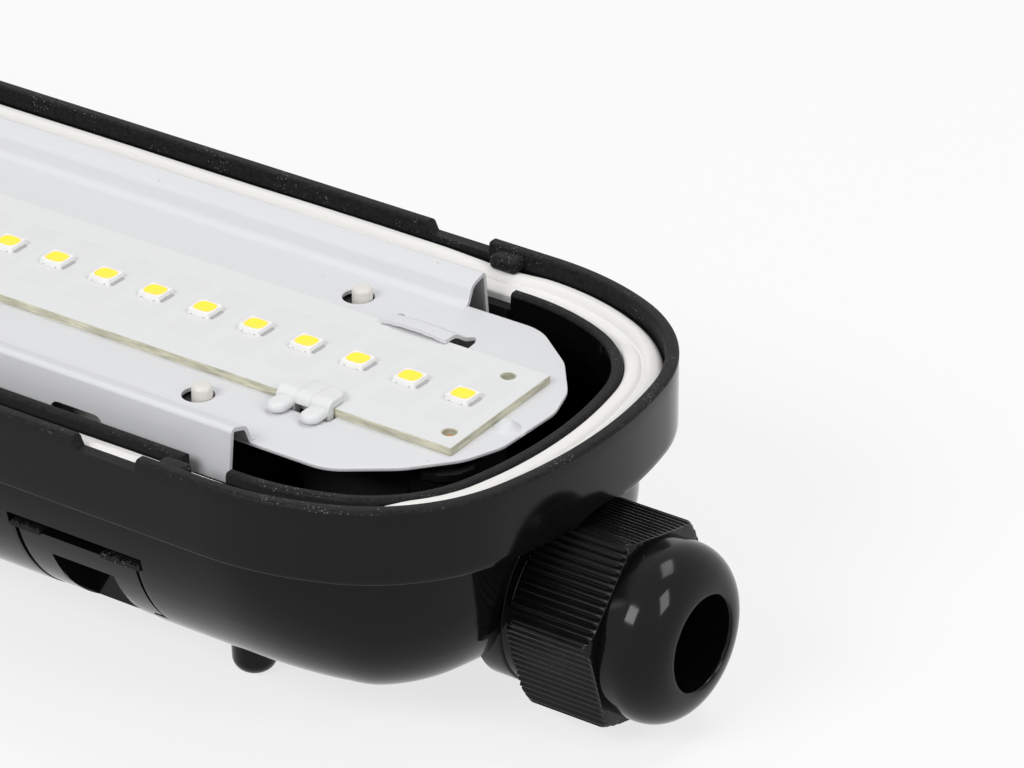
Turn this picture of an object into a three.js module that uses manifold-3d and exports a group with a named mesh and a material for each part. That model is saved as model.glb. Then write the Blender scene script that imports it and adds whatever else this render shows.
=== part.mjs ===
import * as THREE from 'three';
import { mergeVertices } from 'three/addons/utils/BufferGeometryUtils.js';
import Module from 'manifold-3d';

// Vapor tight light fixture, open side up and without its diffuser, in millimetres.
// X runs along the fixture towards the cable gland, Y across it and Z up.
// The origin lies on the surface that the feet stand on, below the middle of the housing.

// Housing outline: a long body whose ends are arches of five arcs
const housingLength = 589.4;
const housingWidth = 64.7;
const noseRadiusShare = 1.855;
const cornerRadiusShare = 0.68;
const noseAngle = 14;
const cornerAngle = 66;
const noseSteps = 6;
const cornerSteps = 6;
const flankSteps = 2;

// Housing section
const rimHeight = 33;
const footHeight = 4.6;
const tubWall = 1.9;
const skirtDepth = 8.8;
const skirtOverhang = 1.15;
const skirtLipRound = 0.3;
const tubStraight = 0.7;
const tubSteps = 6;
const rimWall = 1.5;
const rimRound = 0.5;
const grooveWidth = 4.55;
const grooveDepth = 7.4;
const innerWall = 1.35;
const innerWallDrop = 1.9;
const innerWallRound = 0.4;

// Gasket in the groove, with an outer and a lower inner lobe
const gasketClearance = 0.3;
const outerLobeDrop = 2.3;
const innerLobeDrop = 3.2;

// Rim notches with the hook block beside each, and the gaps in the inner wall
const notchSetback = 37.1;
const notchLength = 8;
const notchDepth = 1.35;
const hookLength = 5;
const hookReach = 2.2;
const hookDrop = 0.5;
const hookThickness = 1.5;
const wallGapSetback = 35.7;
const wallGapLength = 6.5;

// Seats for the side clips along both sides
const seatSetback = 47.2;
const seatsPerSide = 4;
const seatWidth = 16.8;
const seatRelief = 0.5;
const seatSlotWidth = 18.2;
const seatSlotHeight = 1.45;
const seatSlotDrop = 4.2;
const seatSlotDepth = 2.6;
const seatWindowWidth = 8.3;
const seatWindowDrop = 8.45;
const seatWindowDepth = 10.4;

// Feet under the housing
const footDiameter = 5.2;
const footFlat = 3;
const footSetback = 35.6;
const footInset = 17.55;

// Ledges that carry the gear tray
const ledgeWidth = 6;
const ledgeReach = 2.6;
const ledgesPerSide = 3;
const seatGap = 0.3;

// Cable gland: spigot moulded on the end wall, seal, thrust ring and nut
const nutAcrossFlats = 20.8;
const nutTurn = 48;
const nutLength = 10.4;
const nutSetback = 4.5;
const nutClearance = 0.3;
const nutChamfer = 0.7;
const nutChamferShare = 1.7;
const ribLandShare = 0.24;
const ribsPerFlat = 11;
const ribDepth = 0.35;
const domeLength = 7.2;
const domeDiameter = 20.2;
const cableHole = 10.8;
const collarDiameter = 20;
const collarLength = 1.2;
const collarGap = 0.3;
const bossDiameter = 20.4;
const bossLength = 3.5;
const bossTaper = 5.5;
const bossTaperDiameter = 13;
const spigotDiameter = 15.8;
const spigotLength = 9.6;
const sealSeatDepth = 5;
const sealWall = 1.05;
const sealBore = 8;
const sealFlange = 2.2;
const thrustRing = 1;
const threadClearance = 0.4;
const glandSteps = 24;

// Gear tray: folded sheet steel
const sheet = 0.8;
const trayDrop = 1.8;
const trayGap = 0.84;
const trayClearance = 2.1;
const trayFullness = 0.8;
const humpRise = 2.5;
const humpWidth = 3.2;
const humpSlope = 0.8;
const humpSetback = 31.7;
const flangeDepth = 10;
const flangeSplay = 6;
const flangeSlotLength = 7.2;
const flangeSlotHeight = 2.2;
const flangeSlotDrop = 3;
const dimpleDiameter = 3.7;
const dimpleDepth = 0.5;
const dimpleSetback = 11.1;
const roundSteps = 12;

// Light boards with their light sources
const boardWidthShare = 0.5;
const boardThickness = 1;
const boardMargin = 5;
const boardGap = 0.4;
const lightPitch = 7;
const lightSetback = 18.2;
const lightLength = 3.5;
const lightWidth = 2.8;
const lightHeight = 0.7;
const windowLength = 2.5;
const windowWidth = 2.1;
const windowDepth = 0.1;
const countSlack = 0.01;
const boardHole = 1.8;
const farHoleSetback = 4.1;
const farHoleInset = 2.8;
const nearHoleSetback = 2.2;
const nearHoleInset = 3.2;

// Board holders: a lanced tongue on one edge and a snap-in clip on the other
const holderSetback = 18.3;
const holdersPerBoard = 3;
const holderClearance = 0.15;
const tongueLength = 8.6;
const tongueOverlap = 0.9;
const tongueRamp = 2.8;
const tearLength = 3;
const tearWidth = 1.7;
const clipLength = 7;
const clipOverlap = 2.9;
const clipHead = 0.9;
const clipLeg = 2.4;
const clipLegThickness = 1;
const clipFootReach = 3;
const clipFootThickness = 0.8;
const clipHookDepth = 2.4;
const clipHookReach = 0.8;

// Driver under the tray, held by four pegs
const driverLength = 150;
const driverSideGap = 1.05;
const driverHeight = 16;
const driverClipGap = 3.2;
const driverWall = 1.6;
const driverRound = 1.5;
const driverCoverThickness = 1.6;
const coverStep = 0.3;
const pegDiameter = 2.3;
const pegHole = 3.2;
const pegRise = 1.4;
const pegInset = 4.2;
const pegBoardGap = 4.5;

// Terminal block and earth stud under the tray by the gland
const terminalLength = 14;
const terminalBoardGap = 0.8;
const terminalHeight = 10;
const terminalSetback = 19;
const terminalPoles = 3;
const terminalPort = 3.2;
const terminalPortDepth = 5;
const leadDiameter = 1.8;
const leadClearance = 0.3;
const leadSides = 6;
const leadSpanSteps = 3;
const studDiameter = 4;
const studLength = 6.5;
const studSetback = 14.2;
const studOffset = 9;
const nutOnStud = 7;
const nutOnStudHeight = 3.2;
const ringDiameter = 7.6;
const ringThickness = 0.8;
const ringTailReach = 5.5;
const ringTailWidth = 2.6;
const studClearance = 0.3;

// Grommet in the tray below the joint of the boards, and the links over that joint
const grommetHole = 5.8;
const grommetFlange = 0.6;
const grommetWall = 0.6;
const grommetClearance = 0.15;
const leadSpacing = 2.1;
const padInset = 3.3;
const padReach = 7;
const linkDiameter = 1;
const linkSpan = 6;
const linkOffset = 3.5;
const linkRise = 1.2;

// Values worked out from those sizes
const halfLength = housingLength / 2;
const halfWidth = housingWidth / 2;
const noseRadius = noseRadiusShare * halfWidth;
const cornerRadius = cornerRadiusShare * halfWidth;
const skirtBottom = rimHeight - skirtDepth;
const grooveFloor = rimHeight - grooveDepth;
const innerWallTop = rimHeight - innerWallDrop;
const grooveInset = rimWall + grooveWidth;
const cavityInset = grooveInset + innerWall;
const tubRadius = Math.min(skirtBottom - tubStraight - footHeight, cornerRadius - skirtOverhang - tubWall);
const tubAxisHeight = footHeight + tubRadius;
const tubAxisInset = skirtOverhang + tubRadius;
const cavityHalfWidth = halfWidth - cavityInset;
const overrun = tubWall;
const weld = skirtLipRound / 3000;

const nutCorner = nutAcrossFlats / 2 / Math.cos(Math.PI / 6);
const nutReach = nutCorner * Math.sin(THREE.MathUtils.degToRad(nutTurn + 60));
const glandHeight = skirtBottom - nutClearance - nutReach;
const nutBack = halfLength - nutSetback;
const bossFace = nutBack - collarLength - collarGap;
const spigotEnd = bossFace + spigotLength;
const sealSeat = spigotEnd - sealSeatDepth;
const sealEnd = spigotEnd + sealFlange;
const nutFront = nutBack + nutLength;
const domeFront = nutFront + domeLength;

const trayTop = rimHeight - trayDrop;
const trayUnder = trayTop - sheet;
const flangeLean = Math.tan(THREE.MathUtils.degToRad(flangeSplay));
const flangeReach = humpWidth + (humpRise + flangeDepth) * flangeLean;
const trayHalfFlat = cavityHalfWidth - trayGap - flangeReach;
const trayEnd = halfLength - cavityInset - trayClearance;
const boardTop = trayTop + boardThickness;
const lightSpan = halfLength - lightSetback;
const lightsPerBoard = Math.floor(lightSpan / lightPitch + 0.5 + countSlack);
const boardEnd = (lightsPerBoard - 0.5) * lightPitch + boardMargin;
const boardStart = boardGap / 2;
const boardEdge = trayHalfFlat * boardWidthShare;
const padOffset = boardEdge - padInset;
const grommetOffset = (boardEdge + trayHalfFlat) / 2;
const flangeBottom = trayTop - flangeDepth;
const holderPlaces = spread(boardStart + holderSetback, boardEnd - holderSetback, holdersPerBoard);
const driverEnd = holderPlaces[holdersPerBoard - 1] - clipLength / 2 - driverClipGap;
const driverStart = driverEnd - driverLength;
const driverTop = trayUnder;
const driverBottom = driverTop - driverHeight;
const pegPlaces = [driverStart + pegInset, driverEnd - pegInset];
const pegOffset = boardEdge + pegBoardGap;
const coverRimTop = driverBottom + driverCoverThickness + driverWall;
const leadHeight = coverRimTop + leadClearance + leadDiameter / 2;
const terminalEnd = halfLength - terminalSetback;
const terminalStart = terminalEnd - terminalLength;
const terminalBottom = trayUnder - terminalHeight;
const portHeight = terminalBottom + terminalHeight / 2;
const terminalWidth = 2 * (boardEdge - terminalBoardGap);
const poleOffsets = spread(-terminalWidth / 3, terminalWidth / 3, terminalPoles);
const studPlace = halfLength - studSetback;
const driverWidth = 2 * (halfWidth - seatWindowDepth - tubWall - driverSideGap);

const wasm = await Module();
wasm.setup();

// Evenly spread places from a first to a last one.
function spread(first, last, count) {
  const places = [];
  for (let i = 0; i < count; i += 1) {
    places.push(count > 1 ? first + ((last - first) * i) / (count - 1) : (first + last) / 2);
  }
  return places;
}

// A solid for joining and cutting, made of a closed geometry.
function solid(geometry) {
  const bare = new THREE.BufferGeometry();
  bare.setAttribute('position', geometry.getAttribute('position'));
  bare.setIndex(geometry.getIndex());
  const merged = mergeVertices(bare, weld);
  return new wasm.Manifold(new wasm.Mesh({
    numProp: 3,
    vertProperties: new Float32Array(merged.getAttribute('position').array),
    triVerts: new Uint32Array(merged.getIndex().array),
  }));
}

// A geometry made of a solid.
function geometryOf(body) {
  const mesh = body.getMesh();
  const geometry = new THREE.BufferGeometry();
  geometry.setAttribute('position', new THREE.BufferAttribute(mesh.vertProperties, 3));
  geometry.setIndex(new THREE.BufferAttribute(mesh.triVerts, 1));
  geometry.computeVertexNormals();
  return geometry;
}

// Joins a list of solids into one.
function join(bodies) {
  return bodies.reduce((sum, body) => sum.add(body));
}

// A block between two corners.
function block(from, to) {
  const geometry = new THREE.BoxGeometry(to[0] - from[0], to[1] - from[1], to[2] - from[2]);
  geometry.translate((from[0] + to[0]) / 2, (from[1] + to[1]) / 2, (from[2] + to[2]) / 2);
  return solid(geometry);
}

// A turned body about the Z axis from a profile of radius and height pairs.
function turned(profile, steps) {
  const points = profile.map(([radius, height]) => new THREE.Vector2(radius, height));
  return new THREE.LatheGeometry(points, steps).rotateX(Math.PI / 2);
}

// A turned body about the axis of the gland from a profile of radius and X pairs.
function turnedOnGland(profile) {
  const geometry = turned(profile, glandSteps);
  geometry.rotateY(Math.PI / 2);
  geometry.translate(0, 0, glandHeight);
  return solid(geometry);
}

// A round bar along Z.
function bar(radius, x, y, bottom, top, steps) {
  const geometry = turned([[0, bottom], [radius, bottom], [radius, top], [0, top]], steps);
  geometry.translate(x, y, 0);
  return solid(geometry);
}

// A plate of a flat outline in X and Y between two heights.
function plate(points, bottom, top) {
  const shape = new THREE.Shape(points.map(([x, y]) => new THREE.Vector2(x, y)));
  const geometry = new THREE.ExtrudeGeometry(shape, { depth: top - bottom, bevelEnabled: false });
  geometry.translate(0, 0, bottom);
  return solid(geometry);
}

// A bar along X with a section given in Y and Z.
function section(points, fromX, toX) {
  const shape = new THREE.Shape(points.map(([y, z]) => new THREE.Vector2(y, z)));
  const geometry = new THREE.ExtrudeGeometry(shape, { depth: toX - fromX, bevelEnabled: false });
  geometry.applyMatrix4(new THREE.Matrix4().makeBasis(
    new THREE.Vector3(0, 1, 0),
    new THREE.Vector3(0, 0, 1),
    new THREE.Vector3(1, 0, 0),
  ));
  geometry.translate(fromX, 0, 0);
  return solid(geometry);
}

// The arcs of one quarter of the outline, from the nose to the straight side.
function endArcs() {
  const nose = THREE.MathUtils.degToRad(noseAngle);
  const corner = THREE.MathUtils.degToRad(cornerAngle);
  const noseX = halfLength - noseRadius;
  const cornerX = noseX + (noseRadius - cornerRadius) * Math.cos(nose);
  const cornerY = (noseRadius - cornerRadius) * Math.sin(nose);
  const reach = cornerY + cornerRadius * Math.sin(corner);
  const flankRadius = (halfWidth - reach) / (1 - Math.sin(corner));
  const flankX = cornerX + (cornerRadius - flankRadius) * Math.cos(corner);
  const flankY = halfWidth - flankRadius;
  return [
    { x: noseX, y: 0, radius: noseRadius, from: 0, to: nose, steps: noseSteps / 2 },
    { x: cornerX, y: cornerY, radius: cornerRadius, from: nose, to: corner, steps: cornerSteps },
    { x: flankX, y: flankY, radius: flankRadius, from: corner, to: Math.PI / 2, steps: flankSteps },
  ];
}

// One ring of the outline, drawn in by an inset, at a height, counter-clockwise from above.
function ring(inset, height) {
  const quarter = [];
  for (const arc of endArcs()) {
    const first = quarter.length ? 1 : 0;
    for (let i = first; i <= arc.steps; i += 1) {
      const angle = arc.from + ((arc.to - arc.from) * i) / arc.steps;
      const radius = arc.radius - inset;
      quarter.push([arc.x + radius * Math.cos(angle), arc.y + radius * Math.sin(angle)]);
    }
  }
  const back = quarter.slice(1).reverse();
  const right = back.map(([x, y]) => [x, -y]).concat(quarter);
  const left = right.map(([x, y]) => [-x, -y]);
  return right.concat(left).map(([x, y]) => new THREE.Vector3(x, y, height));
}

// A skin over the rings of a profile, capped at both ends or closed on itself.
function ringBody(profile, closed) {
  const rings = profile.map(([inset, height]) => ring(inset, height));
  const count = rings[0].length;
  const positions = rings.flat().flatMap((point) => [point.x, point.y, point.z]);
  const faces = [];
  const bands = closed ? rings.length : rings.length - 1;
  for (let r = 0; r < bands; r += 1) {
    const low = r * count;
    const high = ((r + 1) % rings.length) * count;
    for (let i = 0; i < count; i += 1) {
      const next = (i + 1) % count;
      faces.push(low + i, low + next, high + next);
      faces.push(low + i, high + next, high + i);
    }
  }
  if (!closed) {
    const top = (rings.length - 1) * count;
    for (let i = 1; i < count - 1; i += 1) {
      faces.push(0, i + 1, i);
      faces.push(top, top + i, top + i + 1);
    }
  }
  const geometry = new THREE.BufferGeometry();
  geometry.setAttribute('position', new THREE.Float32BufferAttribute(positions, 3));
  geometry.setIndex(faces);
  return solid(geometry);
}

// The tub's rounded lower corner, drawn in by a depth, from an angle down to the base or back up.
function tubArc(depth, from, to, steps) {
  const radius = tubRadius - depth;
  const points = [];
  for (let i = 0; i <= steps; i += 1) {
    const angle = from + ((to - from) * i) / steps;
    points.push([tubAxisInset - radius * Math.cos(angle), tubAxisHeight - radius * Math.sin(angle)]);
  }
  return points;
}

// The tub as a full block up to the skirt, drawn in by a depth.
function tubBlock(depth) {
  const arc = tubArc(depth, Math.PI / 2, 0, tubSteps);
  return ringBody([...arc, [skirtOverhang + depth, skirtBottom]], false);
}

// Housing
function makeHousing() {
  const cavityAngle = Math.acos(Math.min(1, (tubAxisInset - cavityInset) / (tubRadius - tubWall)));
  const skirtInset = skirtLipRound + rimRound / 10;
  const outside = [
    ...tubArc(0, Math.PI / 2, 0, tubSteps),
    [skirtOverhang, skirtBottom],
    [skirtInset, skirtBottom],
    [0, skirtBottom + skirtLipRound],
    [0, rimHeight - rimRound],
    [rimRound / 3, rimHeight - rimRound / 3],
    [rimRound, rimHeight],
    [rimWall - rimRound, rimHeight],
    [rimWall, rimHeight - rimRound],
  ];
  const inside = [
    [rimWall, grooveFloor],
    [grooveInset, grooveFloor],
    [grooveInset, innerWallTop - innerWallRound],
    [grooveInset + innerWallRound, innerWallTop],
    [cavityInset - innerWallRound, innerWallTop],
    [cavityInset, innerWallTop - innerWallRound],
    ...tubArc(tubWall, cavityAngle, Math.PI / 2, tubSteps / 2),
  ];
  const outerForm = ringBody(outside.slice(0, tubSteps + 2), false);
  let body = ringBody([...outside, ...inside], false);

  for (const end of [-1, 1]) {
    for (const side of [-1, 1]) {
      body = body.subtract(rimNotch(end, side));
      body = body.add(hookBlock(end, side));
      body = body.subtract(wallGap(end, side));
    }
  }
  body = body.add(ledges().add(windowBacking()).intersect(outerForm));
  body = body.subtract(clipSeats());
  body = addGlandBoss(body, outerForm);
  for (const x of [footSetback - halfLength, halfLength - footSetback]) {
    for (const side of [-1, 1]) {
      body = body.add(foot(x, side * (halfWidth - footInset)));
    }
  }
  return body;
}

// A shallow cut in the rim beside the hook, sloping in at the end away from the nose.
function rimNotch(end, side) {
  const near = halfLength - notchSetback - notchLength / 2;
  const points = [
    [near + notchLength / 2, rimHeight - notchDepth],
    [near + notchLength / 2, rimHeight + overrun],
    [near - notchLength / 2 - notchDepth / 2, rimHeight + overrun],
    [near - notchLength / 2 - notchDepth / 2, rimHeight],
    [near - notchLength / 2, rimHeight - notchDepth],
  ];
  const shape = new THREE.Shape(points.map(([x, z]) => new THREE.Vector2(end * x, z)));
  const depth = rimWall + overrun;
  const geometry = new THREE.ExtrudeGeometry(shape, { depth, bevelEnabled: false });
  geometry.rotateX(Math.PI / 2);
  geometry.translate(0, side > 0 ? halfWidth + overrun : rimWall - halfWidth, 0);
  return solid(geometry);
}

// A block on the inner face of the outer wall, above the gasket.
function hookBlock(end, side) {
  const near = halfLength - notchSetback;
  const far = near + hookLength;
  const top = rimHeight - hookDrop;
  const outer = halfWidth - rimWall / 2;
  const inner = halfWidth - rimWall - hookReach;
  const x = [end * near, end * far].sort((a, b) => a - b);
  const y = [side * inner, side * outer].sort((a, b) => a - b);
  return block([x[0], y[0], top - hookThickness], [x[1], y[1], top]);
}

// A gap in the inner wall, down to the floor of the groove.
function wallGap(end, side) {
  const near = halfLength - wallGapSetback;
  const x = [end * near, end * (near + wallGapLength)].sort((a, b) => a - b);
  const inner = cavityHalfWidth - overrun;
  const outer = halfWidth - grooveInset + overrun;
  const y = [side * inner, side * outer].sort((a, b) => a - b);
  return block([x[0], y[0], grooveFloor], [x[1], y[1], rimHeight]);
}

// Ledges on both cavity walls, with their tops just under the flanges of the tray.
function ledges() {
  const reach = halfLength - humpSetback - ledgeWidth;
  const places = spread(-reach, reach, ledgesPerSide);
  const inner = cavityHalfWidth - ledgeReach;
  const outer = cavityHalfWidth + tubWall / 2;
  return join(places.flatMap((x) => [-1, 1].map((side) => {
    const y = [side * inner, side * outer].sort((a, b) => a - b);
    const top = flangeBottom - seatGap;
    return block([x - ledgeWidth / 2, y[0], 0], [x + ledgeWidth / 2, y[1], top]);
  })));
}

// Places of the side clip seats along the housing.
function seatPlaces() {
  const reach = halfLength - seatSetback;
  return spread(-reach, reach, seatsPerSide);
}

// Walls inside the cavity, behind the windows of the seats.
function windowBacking() {
  const half = seatWindowWidth / 2 + tubWall;
  const inner = halfWidth - seatWindowDepth - tubWall;
  const outer = cavityHalfWidth + tubWall / 2;
  const top = skirtBottom - seatWindowDrop + tubWall;
  return join(seatPlaces().flatMap((x) => [-1, 1].map((side) => {
    const y = [side * inner, side * outer].sort((a, b) => a - b);
    return block([x - half, y[0], 0], [x + half, y[1], top]);
  })));
}

// Side clip seats: a slot below the skirt, a shallow panel and a window open to the base.
function clipSeats() {
  const panelSkin = tubBlock(-overrun).subtract(tubBlock(seatRelief));
  const slotTop = skirtBottom - seatSlotDrop;
  const slotBottom = slotTop - seatSlotHeight;
  const windowTop = skirtBottom - seatWindowDrop;
  const cuts = [];
  for (const x of seatPlaces()) {
    for (const side of [-1, 1]) {
      const cut = (width, depth, bottom, top) => {
        const y = [side * (halfWidth - depth), side * halfWidth].sort((a, b) => a - b);
        return block([x - width / 2, y[0], bottom], [x + width / 2, y[1], top]);
      };
      cuts.push(panelSkin.intersect(cut(seatWidth, tubAxisInset, 0, slotBottom)));
      cuts.push(cut(seatSlotWidth, skirtOverhang + seatSlotDepth, slotBottom, slotTop));
      cuts.push(cut(seatWindowWidth, seatWindowDepth, 0, windowTop));
    }
  }
  return join(cuts);
}

// The end wall's boss, the recess round the nut, and the spigot with its bore.
function addGlandBoss(housing, outerForm) {
  const recess = nutCorner + nutClearance;
  const edge = collarDiameter / 2 - collarGap;
  const backing = turnedOnGland([
    [0, bossFace - tubWall],
    [recess + tubWall, bossFace - tubWall],
    [recess + tubWall, bossFace],
    [0, bossFace],
  ]);
  const boss = turnedOnGland([
    [0, bossFace - bossLength - bossTaper],
    [bossTaperDiameter / 2, bossFace - bossLength - bossTaper],
    [bossDiameter / 2, bossFace - bossLength],
    [bossDiameter / 2, bossFace - collarGap],
    [bossDiameter / 2 - collarGap, bossFace],
    [collarDiameter / 2, bossFace],
    [collarDiameter / 2, bossFace + collarLength - collarGap],
    [edge, bossFace + collarLength],
    [spigotDiameter / 2, bossFace + collarLength],
    [spigotDiameter / 2, spigotEnd - collarGap],
    [spigotDiameter / 2 - collarGap, spigotEnd],
    [0, spigotEnd],
  ]);
  const clearing = turnedOnGland([
    [0, bossFace],
    [recess, bossFace],
    [recess, halfLength + overrun],
    [0, halfLength + overrun],
  ]);
  const bore = turnedOnGland([
    [0, bossFace - bossLength - bossTaper - overrun],
    [cableHole / 2, bossFace - bossLength - bossTaper - overrun],
    [cableHole / 2, sealSeat],
    [spigotDiameter / 2 - sealWall, sealSeat],
    [spigotDiameter / 2 - sealWall, spigotEnd + overrun],
    [0, spigotEnd + overrun],
  ]);
  return housing.add(backing.intersect(outerForm)).subtract(clearing).add(boss).subtract(bore);
}

// A foot with a rounded lower edge.
function foot(x, y) {
  const geometry = turned([
    [0, 0],
    [footFlat / 2, 0],
    [footDiameter / 2, footHeight / 2],
    [footDiameter / 2, footHeight + tubWall / 2],
    [0, footHeight + tubWall / 2],
  ], roundSteps);
  geometry.translate(x, y, 0);
  return solid(geometry);
}

// Gasket
function makeGasket() {
  const outer = rimWall + gasketClearance;
  const inner = grooveInset - gasketClearance;
  const width = inner - outer;
  const outerTop = rimHeight - outerLobeDrop;
  const innerTop = rimHeight - innerLobeDrop;
  const rise = outerTop - innerTop;
  const crease = innerTop + rise / 5;
  const widthShares = [0, 0.08, 0.27, 0.44, 0.53, 0.62, 0.8, 0.93, 1];
  const heights = [outerTop - rise, outerTop - rise / 4, outerTop, outerTop - rise / 3, crease,
    innerTop + rise / 6, innerTop, innerTop - rise / 3, innerTop - rise];
  const top = widthShares.map((share, i) => [outer + width * share, heights[i]]);
  const bottom = grooveFloor + gasketClearance;
  return ringBody([[inner, bottom], [outer, bottom], ...top], true);
}

// Outline of the flat of the tray: straight sides closed at each end by a full, rounded curve.
function trayOutline() {
  const centre = trayEnd - trayHalfFlat;
  const full = (value) => Math.sign(value) * Math.abs(value) ** trayFullness;
  const points = [];
  for (let i = 0; i <= 2 * roundSteps; i += 1) {
    const angle = -Math.PI / 2 + (Math.PI * i) / (2 * roundSteps);
    points.push([centre + trayHalfFlat * full(Math.cos(angle)), trayHalfFlat * full(Math.sin(angle))]);
  }
  return points.concat(points.map(([x, y]) => [-x, -y]));
}

// Section of one folded edge of the tray, rising over a hump and going down as a flange.
function flangeSection(side) {
  const inner = trayHalfFlat + humpSlope;
  const outer = inner + humpWidth - humpSlope;
  const crown = trayTop + humpRise;
  const inside = trayTop + humpRise - humpSlope / 2;
  const fall = crown - flangeBottom;
  const points = [
    [trayHalfFlat - sheet, trayUnder],
    [trayHalfFlat + sheet / 2, trayUnder],
    [inner + sheet / 2, inside - sheet],
    [outer - sheet, crown - sheet],
    [outer - sheet + fall * flangeLean, flangeBottom],
    [outer + fall * flangeLean, flangeBottom],
    [outer, crown],
    [inner, inside],
    [trayHalfFlat, trayTop],
    [trayHalfFlat - sheet, trayTop],
  ];
  return points.map(([y, z]) => [side * y, z]);
}

// Gear tray
function makeTray() {
  const humpEnd = halfLength - humpSetback;
  let body = plate(trayOutline(), trayUnder, trayTop);
  for (const side of [-1, 1]) {
    body = body.add(section(flangeSection(side), -humpEnd, humpEnd));
  }
  for (const x of pegPlaces) {
    for (const side of [-1, 1]) {
      const y = side * pegOffset;
      body = body.subtract(bar(pegHole / 2, x, y, trayUnder - overrun, trayTop + overrun, roundSteps));
    }
  }
  for (const end of [-1, 1]) {
    for (const place of holderPlaces) {
      body = body.subtract(tongueCut(end * place)).add(tongue(end * place));
      body = body.subtract(clipCut(end * place));
    }
    body = body.subtract(dimple(end * (halfLength - dimpleSetback)));
    body = body.subtract(flangeSlot(end));
  }
  const low = trayUnder - overrun;
  body = body.subtract(bar(grommetHole / 2, 0, grommetOffset, low, trayTop + overrun, roundSteps));
  const stud = bar(studDiameter / 2, studPlace, -studOffset, trayUnder - studLength, trayUnder, roundSteps);
  return body.add(stud);
}

// The opening that a lanced tongue leaves, with a torn ear beyond each end.
function tongueCut(x) {
  const inner = boardEdge - tongueOverlap;
  const outer = boardEdge + tongueRamp;
  const half = tongueLength / 2;
  const ear = half + tearLength;
  const middle = boardEdge + tearWidth / 2;
  const points = [
    [x - half, inner],
    [x + half, inner],
    [x + half, boardEdge + holderClearance],
    [x + ear - tearWidth, middle - tearWidth / 2 + holderClearance],
    [x + ear, middle + tearWidth / 4],
    [x + ear - tearWidth, middle + tearWidth / 2 + holderClearance],
    [x + half, outer],
    [x - half, outer],
    [x - ear + tearWidth, middle + tearWidth / 2 + holderClearance],
    [x - ear, middle + tearWidth / 4],
    [x - ear + tearWidth, middle - tearWidth / 2 + holderClearance],
    [x - half, boardEdge + holderClearance],
  ];
  return plate(points, trayUnder - overrun, trayTop + overrun);
}

// A tongue of the sheet that rises from the flat and lies over the edge of the board.
function tongue(x) {
  const under = boardTop + holderClearance;
  const points = [
    [boardEdge - tongueOverlap, under],
    [boardEdge + holderClearance, under],
    [boardEdge + tongueRamp - sheet, trayUnder],
    [boardEdge + tongueRamp + sheet / 2, trayUnder],
    [boardEdge + tongueRamp + sheet / 2, trayTop],
    [boardEdge + tongueRamp - sheet / 4, trayTop],
    [boardEdge + 3 * holderClearance, under + sheet],
    [boardEdge - tongueOverlap, under + sheet],
  ];
  const half = tongueLength / 2 - holderClearance;
  return section(points.reverse(), x - half, x + half);
}

// The opening below a board clip.
function clipCut(x) {
  const half = clipLength / 2 + holderClearance * 2;
  const inner = -boardEdge + holderClearance;
  const outer = -boardEdge - holderClearance * 3 - clipLegThickness;
  return block([x - half, outer, trayUnder - overrun], [x + half, inner, trayTop + overrun]);
}

// A small conical dimple in the flat near the end.
function dimple(x) {
  const geometry = turned([
    [0, trayTop - dimpleDepth],
    [dimpleDiameter / 2, trayTop],
    [dimpleDiameter / 2, trayTop + overrun],
    [0, trayTop + overrun],
  ], roundSteps);
  geometry.translate(x, -dimpleDiameter / 3, 0);
  return solid(geometry);
}

// An oblong slot near the top of the flange on the clip side.
function flangeSlot(end) {
  const centre = end * (driverEnd - flangeSlotLength * 2);
  const radius = flangeSlotHeight / 2;
  const straight = flangeSlotLength / 2 - radius;
  const points = [];
  for (let i = 0; i <= roundSteps; i += 1) {
    const angle = -Math.PI / 2 + (Math.PI * i * 2) / roundSteps;
    const shift = i <= roundSteps / 2 ? straight : -straight;
    if (i === roundSteps / 2) {
      points.push(new THREE.Vector2(straight, radius));
    }
    points.push(new THREE.Vector2(shift + radius * Math.cos(angle), radius * Math.sin(angle)));
  }
  const shape = new THREE.Shape(points);
  const depth = cavityHalfWidth - trayHalfFlat;
  const geometry = new THREE.ExtrudeGeometry(shape, { depth, bevelEnabled: false });
  geometry.rotateX(Math.PI / 2);
  geometry.translate(centre, -trayHalfFlat - humpSlope - sheet, trayTop - flangeSlotDrop + radius);
  return solid(geometry);
}

// Light board with its light sources soldered on, for one end of the fixture
function makeBoard(end) {
  const x = [end * boardStart, end * boardEnd].sort((a, b) => a - b);
  let body = block([x[0], -boardEdge, trayTop], [x[1], boardEdge, boardTop]);
  const holes = [
    [boardEnd - farHoleSetback, boardEdge - farHoleInset],
    [boardEnd - nearHoleSetback, nearHoleInset - boardEdge],
  ];
  for (const [place, offset] of holes) {
    const hole = bar(boardHole / 2, end * place, offset, trayTop - overrun, boardTop + overrun, roundSteps);
    body = body.subtract(hole);
  }
  const top = boardTop + lightHeight;
  for (let i = 0; i < lightsPerBoard; i += 1) {
    const place = end * (i + 0.5) * lightPitch;
    const low = [place - lightLength / 2, -lightWidth / 2, boardTop - boardThickness / 2];
    const high = [place + lightLength / 2, lightWidth / 2, top];
    const window = block(
      [place - windowLength / 2, -windowWidth / 2, top - windowDepth],
      [place + windowLength / 2, windowWidth / 2, top + overrun],
    );
    body = body.add(block(low, high).subtract(window));
  }
  return body;
}

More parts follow.
